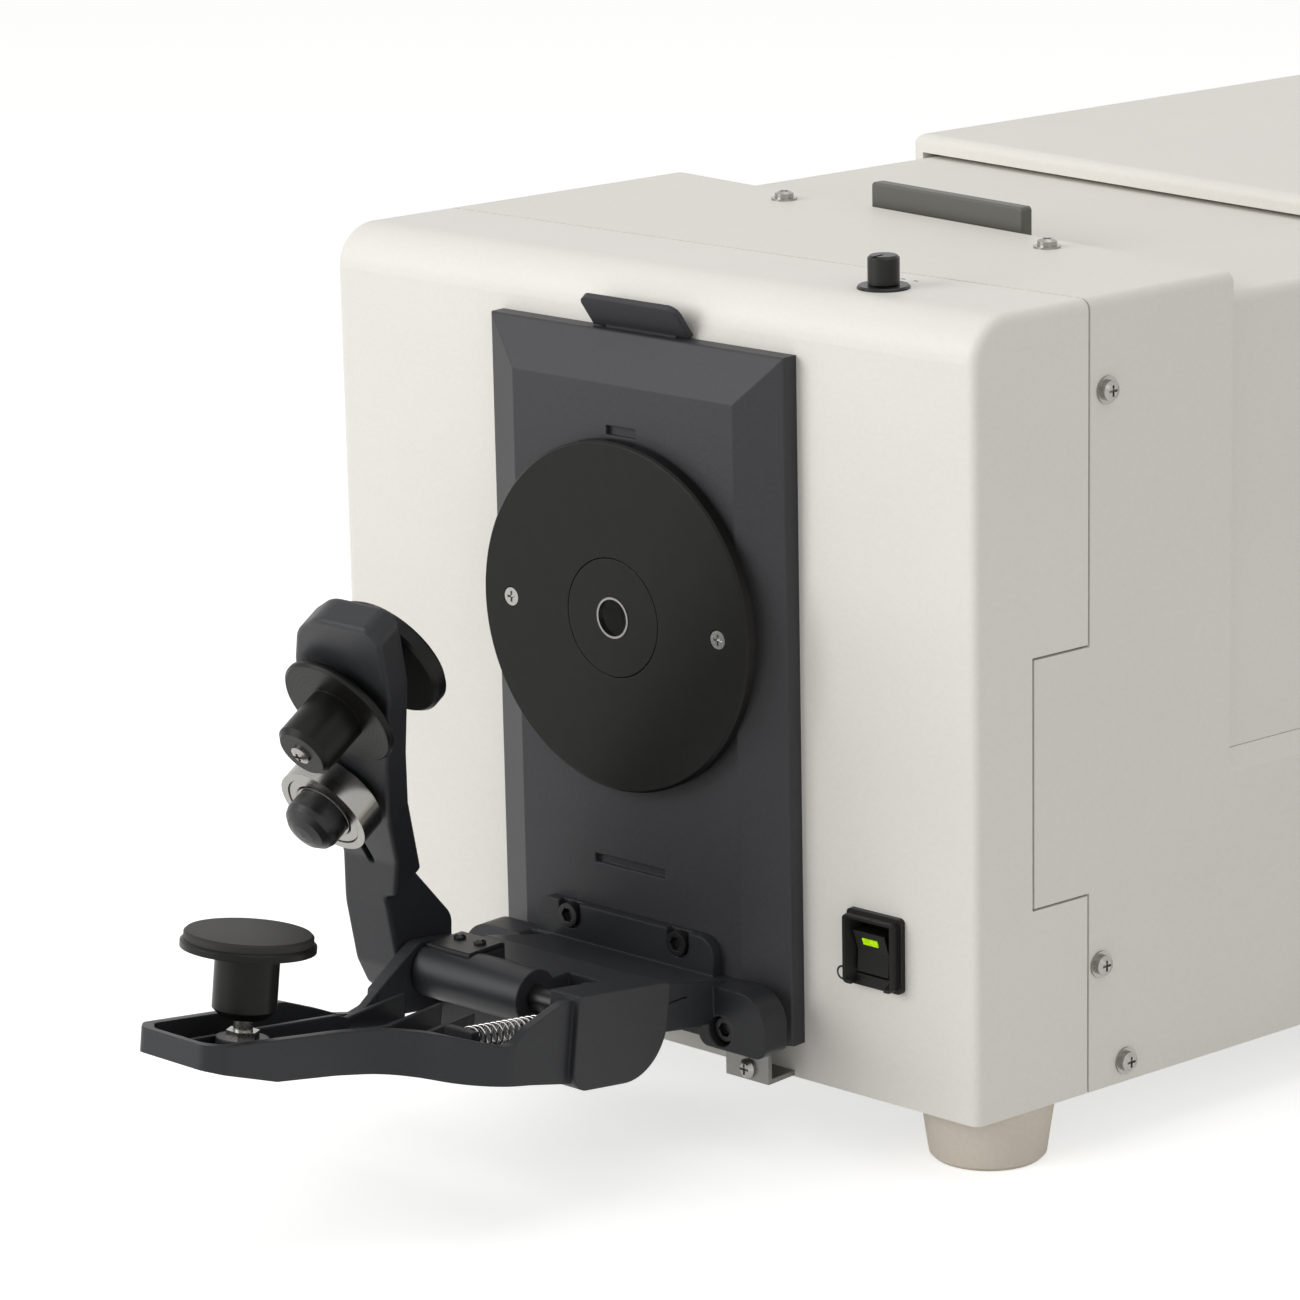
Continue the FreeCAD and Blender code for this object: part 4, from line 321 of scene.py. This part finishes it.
def stand(maker, place, axis):
    """Turns what was made along Z to an axis and puts it in its place."""
    turn = UP.rotation_difference(axis).to_matrix().to_4x4()
    bmesh.ops.transform(maker, matrix=Matrix.Translation(place) @ turn, verts=maker.verts)


def print_bar(maker, size, place, axis):
    """A flat printed bar with rounded ends, standing off the panel by its depth."""
    made = bmesh.ops.create_cube(maker, size=1.0)["verts"]
    corners = [edge for edge in maker.edges if edge.verts[0] in made
               and edge.verts[0].co.z != edge.verts[1].co.z]
    bmesh.ops.scale(maker, vec=size, verts=made)
    rounded = bmesh.ops.bevel(maker, geom=corners, offset=min(size[:2]) * BAR_CORNER_SHARE,
                              segments=BAR_CORNER_STEPS, profile=0.5, affect="EDGES",
                              material=-1)["verts"]
    every = list({*rounded, *(vert for vert in made if vert.is_valid)})
    turn = Matrix((ACROSS, axis.cross(ACROSS), axis)).transposed().to_4x4()
    lifted = place + axis * (size[2] / 2)
    bmesh.ops.transform(maker, matrix=Matrix.Translation(lifted) @ turn, verts=every)


def colour_prop(label, code, words):
    """A colour that a user may change."""
    return bpy.props.FloatVectorProperty(name=label, description=words, subtype="COLOR", size=4,
                                         min=0.0, max=1.0, default=linear(code))


def length_prop(label, millimetres, words):
    """A length that a user may change."""
    return bpy.props.FloatProperty(name=label, description=words, subtype="DISTANCE",
                                   unit="LENGTH", default=millimetres * MILLI)


class InstrumentColours(bpy.types.PropertyGroup):
    """Colours of the finishes."""

    shell: colour_prop("Shell", "E9E6E0", "Warm off-white of the moulded front")
    cover: colour_prop("Covers", "E6E3DC", "Warm off-white paint of the sheet covers")
    plate: colour_prop("Port plate", "39393C", "Dark grey of the port plate")
    clamp: colour_prop("Clamp castings", "2B2C2F", "Charcoal of the clamp castings")
    black: colour_prop("Turned black", "121110", "Black of the turned discs")
    handle: colour_prop("Lid handle", "5A5953", "Charcoal of the lid handle")
    plastic: colour_prop("Black plastic", "191817", "Black of switch and knob")
    foot: colour_prop("Feet", "DAD1C4", "Beige of the rubber feet")
    lamp: colour_prop("Lamp", "B4E600", "Green of the switch lamp")
    ink: colour_prop("Printed marks", "33312F", "Dark grey of the printed marks")


class InstrumentSizes(bpy.types.PropertyGroup):
    """Sizes of the marks and the studio."""

    ring: length_prop("Off ring", 4.8, "Outside diameter of the printed ring by the switch")
    stroke: length_prop("Stroke", 0.7, "Line width of the printed marks")
    ink_depth: length_prop("Ink depth", 0.06, "How far printed ink stands off the panel")
    tick: length_prop("Tick", 1.8, "Length of a position tick by the selector knob")
    floor: length_prop("Floor", 9000.0, "Side of the studio floor")


class INSTRUMENT_OT_covers(bpy.types.Operator):
    """Finishes the front shell, the sheet covers, the rear panel and the feet"""

    bl_idname = "instrument.covers"
    bl_label = "Finish covers"

    def execute(self, context):
        colours = context.scene.instrument_colours
        # Moulded ABS with an eroded grain: matt, with broad highlights
        shell = coated("textured_shell_plastic", colours.shell, grain_mm=1.4, depth_mm=0.1,
                       roughness=0.5, ior=1.48, drift=0.03)
        # Textured paint on folded sheet: matt, with a slightly deeper grain
        paint = coated("textured_cover_paint", colours.cover, grain_mm=1.6, depth_mm=0.12,
                       roughness=0.48, drift=0.03)
        # Moulded rubber: chalky, with hardly a highlight
        rubber = coated("beige_foot_rubber", colours.foot, grain_mm=1.5, depth_mm=0.05,
                        roughness=0.75, ior=1.52)
        # Rolled steel sheet: a dull grey sheen
        sheet = plated("plain_chassis_sheet", linear("B9B9B6"), roughness=0.42, scratch_mm=1.5)
        # Moulded ABS with a fine grain: an even, soft gloss
        charcoal = coated("charcoal_handle_plastic", colours.handle, grain_mm=0.8,
                          depth_mm=0.04, roughness=0.45)
        dress(shell, "front_shell")
        dress(paint, "main_cover", "rear_cover", "rear_panel", "chamber_lid")
        dress(rubber, "feet")
        dress(sheet, "base_plate")
        dress(charcoal, "lid_handle")
        return {"FINISHED"}


class INSTRUMENT_OT_port(bpy.types.Operator):
    """Finishes the port plate, the turned mask and the release tab"""

    bl_idname = "instrument.port"
    bl_label = "Finish port"

    def execute(self, context):
        colours = context.scene.instrument_colours
        # Textured dark paint: a soft sheen that draws the bevels
        plate = coated("grained_plate_paint", colours.plate, grain_mm=1.3, depth_mm=0.1,
                       roughness=0.42, drift=0.1, edge_mm=0.8, gleam=0.25)
        mask = turned_black("turned_black_mask", colours.black, middle("mask_ring"), FORWARD,
                            roughness=0.36)
        # Polished steel: a thin bright line round the port
        rim = plated("polished_port_rim", linear("8F8E8B"), roughness=0.3)
        dress(plate, "target_plate", "release_tab")
        dress(mask, "mask_disc", "mask_ring")
        dress(rim, "aperture_rim")
        return {"FINISHED"}


def shut_bearing(steel):
    """Pressed sheet shields that close the bearing on both faces over its balls."""
    maker = bmesh.new()
    for side in (1, -1):
        profile = [(reach * MILLI, 0.0, side * (BEARING_HALF + rise) * MILLI)
                   for reach, rise in SHIELD_PROFILE]
        spin_closed(maker, profile)
    spin = JOINTS["bearing_spin"]
    stand(maker, Vector(spin["pos_m"]), Vector(spin["axis"]))
    settle(maker, "bearing_shields", "bearing", steel)


class INSTRUMENT_OT_clamp(bpy.types.Operator):
    """Finishes the sample clamp: castings, pads, bearing and spring"""

    bl_idname = "instrument.clamp"
    bl_label = "Finish clamp"

    def execute(self, context):
        colours = context.scene.instrument_colours
        # Painted die casting: charcoal with soft, faintly lit edges
        casting = coated("charcoal_casting_paint", colours.clamp, grain_mm=1.1, depth_mm=0.08,
                         roughness=0.4, drift=0.1, edge_mm=1.0, gleam=0.28)
        satin = turned_black("turned_black_lever_pad", colours.black, middle("pad_stud"),
                             JOINTS["pad_height"]["axis"], roughness=0.34)
        discs = turned_black("turned_black_arm_discs", colours.black,
                             JOINTS["pad_align"]["pos_m"], JOINTS["bearing_spin"]["axis"],
                             roughness=0.34)
        # Moulded rubber: flat black with a weak sheen
        rubber = coated("black_pad_rubber", linear("1E1C1A"), grain_mm=0.7, depth_mm=0.03,
                        roughness=0.55, ior=1.52, drift=0.12, gleam=0.3)
        # Ground bearing steel: bright and nearly a mirror
        steel = plated("ground_bearing_steel", linear("A19F9B"), roughness=0.22)
        # Drawn spring wire: small bright glints on each turn
        spring = plated("bright_spring_wire", linear("BDBBB7"), roughness=0.22, scratch_mm=0.4)
        # Nickel-plated steel: bright heads with dark slots
        nickel = plated("nickel_plated_screws", linear("A5A39F"), roughness=0.26)
        # Bent zinc-plated sheet: dull grey
        sheet = plated("dull_tab_sheet", linear("8A8985"), roughness=0.45, scratch_mm=1.5)
        # Blackened steel: near black with a tight, weak highlight
        dark = coated("blackened_steel", linear("161617"), grain_mm=0.8, depth_mm=0.03,
                      roughness=0.35, ior=1.6, drift=0.12, edge_mm=0.3, gleam=0.3)
        dress(casting, "holder_bracket", "lever", "swing_arm")
        dress(satin, "lever_pad")
        dress(discs, "arm_outer_knob", "arm_inner_pad")
        dress(rubber, "lever_pad_face")
        dress(dark, "strap_plate", "strap_screws", "bracket_screws", "bearing_cap",
              "hinge_shaft")
        dress(sheet, "lower_tabs")
        dress(steel, "bearing_outer_ring", "bearing_inner_ring", "bearing_balls")
        dress(spring, "clamp_spring")
        shut_bearing(steel)
        dress(nickel, "pad_stud", "pad_nut", "arm_knob_screw", "tab_screws", "cover_screws",
              "mask_screws")
        return {"FINISHED"}


class INSTRUMENT_OT_controls(bpy.types.Operator):
    """Finishes the power switch and the selector knob"""

    bl_idname = "instrument.controls"
    bl_label = "Finish controls"

    def execute(self, context):
        colours = context.scene.instrument_colours
        # Moulded nylon: black with a soft gloss on its edges
        bezel = coated("black_switch_plastic", colours.plastic, grain_mm=0.5, depth_mm=0.02,
                       roughness=0.4, ior=1.52, drift=0.1, edge_mm=0.4, gleam=0.25)
        # Moulded phenolic: darker and shinier than the switch
        knob = coated("black_knob_plastic", tone(colours.plastic, 0.8), grain_mm=0.6,
                      depth_mm=0.02, roughness=0.32, ior=1.52, drift=0.1, edge_mm=0.3,
                      gleam=0.3)
        lamp = lens_plastic("green_lamp_lens", colours.lamp)
        dress(bezel, "switch_bezel", "rocker")
        dress(knob, "selector_knob", "knob_flange", "selector_switch")
        dress(lamp, "rocker_lamp")
        return {"FINISHED"}


class INSTRUMENT_OT_marks(bpy.types.Operator):
    """Prints the off ring and on bar by the switch and the ticks by the selector knob"""

    bl_idname = "instrument.marks"
    bl_label = "Print marks"

    def execute(self, context):
        colours = context.scene.instrument_colours
        sizes = context.scene.instrument_sizes
        # Screen-printed ink: flat dark grey
        ink = coated("printed_ink", colours.ink, grain_mm=0.3, depth_mm=0.005, roughness=0.5,
                     drift=0.08)
        depth = sizes.ink_depth
        switch = Vector(JOINTS["rocker_tilt"]["pos_m"])
        knob = Vector(JOINTS["selector_turn"]["pos_m"])
        outer = sizes.ring / 2
        inner = outer - sizes.stroke
        maker = bmesh.new()
        spin_closed(maker, [(inner, 0, 0), (outer, 0, 0), (outer, 0, depth), (inner, 0, depth)])
        stand(maker, switch + ACROSS * OFF_RING_AT[0] + UP * OFF_RING_AT[1], FORWARD)
        settle(maker, "off_ring_mark", "instrument", ink)
        maker = bmesh.new()
        print_bar(maker, (sizes.stroke, sizes.ring, depth),
                  switch + ACROSS * ON_BAR_AT[0] + UP * ON_BAR_AT[1], FORWARD)
        settle(maker, "on_bar_mark", "instrument", ink)
        maker = bmesh.new()
        for aside, back in SELECTOR_TICKS:
            print_bar(maker, (sizes.tick, sizes.stroke, depth),
                      knob + ACROSS * aside - FORWARD * back, UP)
        settle(maker, "selector_ticks", "instrument", ink)
        return {"FINISHED"}


class INSTRUMENT_OT_inside(bpy.types.Operator):
    """Finishes the chamber and the optics and electronics behind the covers"""

    bl_idname = "instrument.inside"
    bl_label = "Finish inside"

    def execute(self, context):
        # Matt black paint: swallows nearly all light
        chamber = coated("matt_chamber_black", linear("1E1E1E"), grain_mm=0.6, depth_mm=0.04,
                         roughness=0.7, drift=0.1)
        # Black anodised aluminium: a weak satin sheen
        optics = coated("black_anodised_optics", linear("242426"), grain_mm=0.5, depth_mm=0.02,
                        roughness=0.45, ior=1.6, drift=0.1)
        # Sprayed barium sulphate: chalk white, with no gloss
        white = coated("white_sphere_coat", linear("F4F4F2"), grain_mm=0.5, depth_mm=0.03,
                       roughness=0.9, drift=0.01)
        ruled = ruled_glass("ruled_grating_glass", linear("CFD4DC"))
        board = circuit_board("green_circuit_board", linear("1F6B3E"))
        # Zinc-plated sheet: a dull, blotched grey sheen
        zinc = plated("zinc_plated_case", linear("A9A9A4"), roughness=0.4, scratch_mm=2.0)
        dress(chamber, "chamber_front_wall", "chamber_rear_wall", "chamber_floor")
        dress(optics, "lamp_housing", "lens_barrel", "spectrometer_box", "sphere_stand",
              "fan_frame", "fan_rotor", "power_inlet", "data_port")
        dress(white, "sphere_front", "sphere_rear")
        dress(ruled, "grating")
        dress(board, "detector_board", "main_board")
        dress(zinc, "power_supply")
        return {"FINISHED"}


def seen_or_mirrored(tree):
    """1 for what the camera, a reflection or glass sees directly."""
    rays = add(tree, "ShaderNodeLightPath")
    seen = rays.outputs["Is Camera Ray"]
    for kind in ("Is Glossy Ray", "Is Transmission Ray"):
        either = add(tree, "ShaderNodeMath", {0: seen, 1: rays.outputs[kind]},
                     operation="MAXIMUM")
        seen = either.outputs["Value"]
    return seen


def lay_floor(side):
    """A plain pale floor that keeps the object's shadow and fades to the white backdrop."""
    material, tree = new_material("pale_studio_floor")
    paper = add(tree, "ShaderNodeBsdfDiffuse", {"Color": linear("E4E4E2")})
    level = add(tree, "ShaderNodeMapRange",
                {"Value": seen_or_mirrored(tree), "To Min": 0.0, "To Max": FLOOR_GLOW})
    glow = add(tree, "ShaderNodeEmission",
               {"Color": PAPER_WHITE, "Strength": level.outputs["Result"]})
    both = add(tree, "ShaderNodeAddShader", {0: paper.outputs["BSDF"],
                                             1: glow.outputs["Emission"]})
    add(tree, "ShaderNodeOutputMaterial", {"Surface": both.outputs["Shader"]})
    maker = bmesh.new()
    bmesh.ops.create_grid(maker, x_segments=1, y_segments=1, size=side / 2)
    floor = make_piece(maker, "studio_floor", material)


def light_world(scene):
    """Even white room: a plain level of light, and plain white where it is seen."""
    world = bpy.data.worlds.new("white_room")
    world.use_nodes = True
    tree = world.node_tree
    tree.nodes.clear()
    room = add(tree, "ShaderNodeBackground",
               {"Color": linear("FBFAF8"), "Strength": ROOM_LEVEL})
    paper = add(tree, "ShaderNodeBackground", {"Color": PAPER_WHITE, "Strength": 1.0})
    mixed = add(tree, "ShaderNodeMixShader", {0: seen_or_mirrored(tree),
                                              1: room.outputs["Background"],
                                              2: paper.outputs["Background"]})
    add(tree, "ShaderNodeOutputWorld", {"Surface": mixed.outputs["Shader"]})
    scene.world = world


def hang_softbox(name, place, aim, side, power):
    """A square softbox that points at the object."""
    lamp = bpy.data.lights.new(name, "AREA")
    lamp.shape = "SQUARE"
    lamp.size = side
    lamp.energy = power
    softbox = bpy.data.objects.new(name, lamp)
    softbox.location = place
    softbox.rotation_euler = (aim - place).to_track_quat("-Z", "Y").to_euler()
    bpy.context.scene.collection.objects.link(softbox)


def place_camera(scene):
    """A long lens at the right front corner, looking down a little."""
    lens = bpy.data.cameras.new("camera")
    lens.lens = CAMERA_LENS
    lens.clip_end = CAMERA_CLIP_END
    camera = bpy.data.objects.new("camera", lens)
    camera.location = CAMERA_PLACE
    turn = (Matrix.Rotation(CAMERA_AZIMUTH, 4, "Z")
            @ Matrix.Rotation(math.pi / 2 - CAMERA_ELEVATION, 4, "X")
            @ Matrix.Rotation(CAMERA_ROLL, 4, "Z"))
    camera.rotation_euler = turn.to_euler()
    scene.collection.objects.link(camera)
    scene.camera = camera


class INSTRUMENT_OT_stage(bpy.types.Operator):
    """Sets the floor, the soft studio light and the camera"""

    bl_idname = "instrument.stage"
    bl_label = "Set stage"

    def execute(self, context):
        scene = context.scene
        scene.view_settings.view_transform = "Standard"
        lay_floor(scene.instrument_sizes.floor)
        light_world(scene)
        for name, place, side, power in SOFTBOXES:
            hang_softbox(name, Vector(place), Vector(SOFTBOX_AIM), side, power)
        place_camera(scene)
        return {"FINISHED"}


class INSTRUMENT_PT_sidebar(bpy.types.Panel):
    """Lists the finishes and the studio"""

    bl_idname = "INSTRUMENT_PT_sidebar"
    bl_label = "Bench spectrophotometer"
    bl_space_type = "VIEW_3D"
    bl_region_type = "UI"
    bl_category = "Instrument"

    def draw(self, context):
        for group in (context.scene.instrument_colours, context.scene.instrument_sizes):
            for name in group.__annotations__:
                self.layout.prop(group, name)
        for operator in OPERATORS:
            self.layout.operator(operator.bl_idname)


OPERATORS = (INSTRUMENT_OT_covers, INSTRUMENT_OT_port, INSTRUMENT_OT_clamp,
             INSTRUMENT_OT_controls, INSTRUMENT_OT_marks, INSTRUMENT_OT_inside,
             INSTRUMENT_OT_stage)
CLASSES = (InstrumentColours, InstrumentSizes, *OPERATORS, INSTRUMENT_PT_sidebar)


def register():
    """Registers the classes and their settings."""
    for cls in CLASSES:
        bpy.utils.register_class(cls)
    bpy.types.Scene.instrument_colours = bpy.props.PointerProperty(type=InstrumentColours)
    bpy.types.Scene.instrument_sizes = bpy.props.PointerProperty(type=InstrumentSizes)


def unregister():
    """Takes the classes and their settings out again."""
    del bpy.types.Scene.instrument_sizes
    del bpy.types.Scene.instrument_colours
    for cls in reversed(CLASSES):
        bpy.utils.unregister_class(cls)


def main():
    """Builds every piece in order."""
    register()
    for operator in OPERATORS:
        group, action = operator.bl_idname.split(".")
        getattr(getattr(bpy.ops, group), action)()


if __name__ == "__main__":
    main()
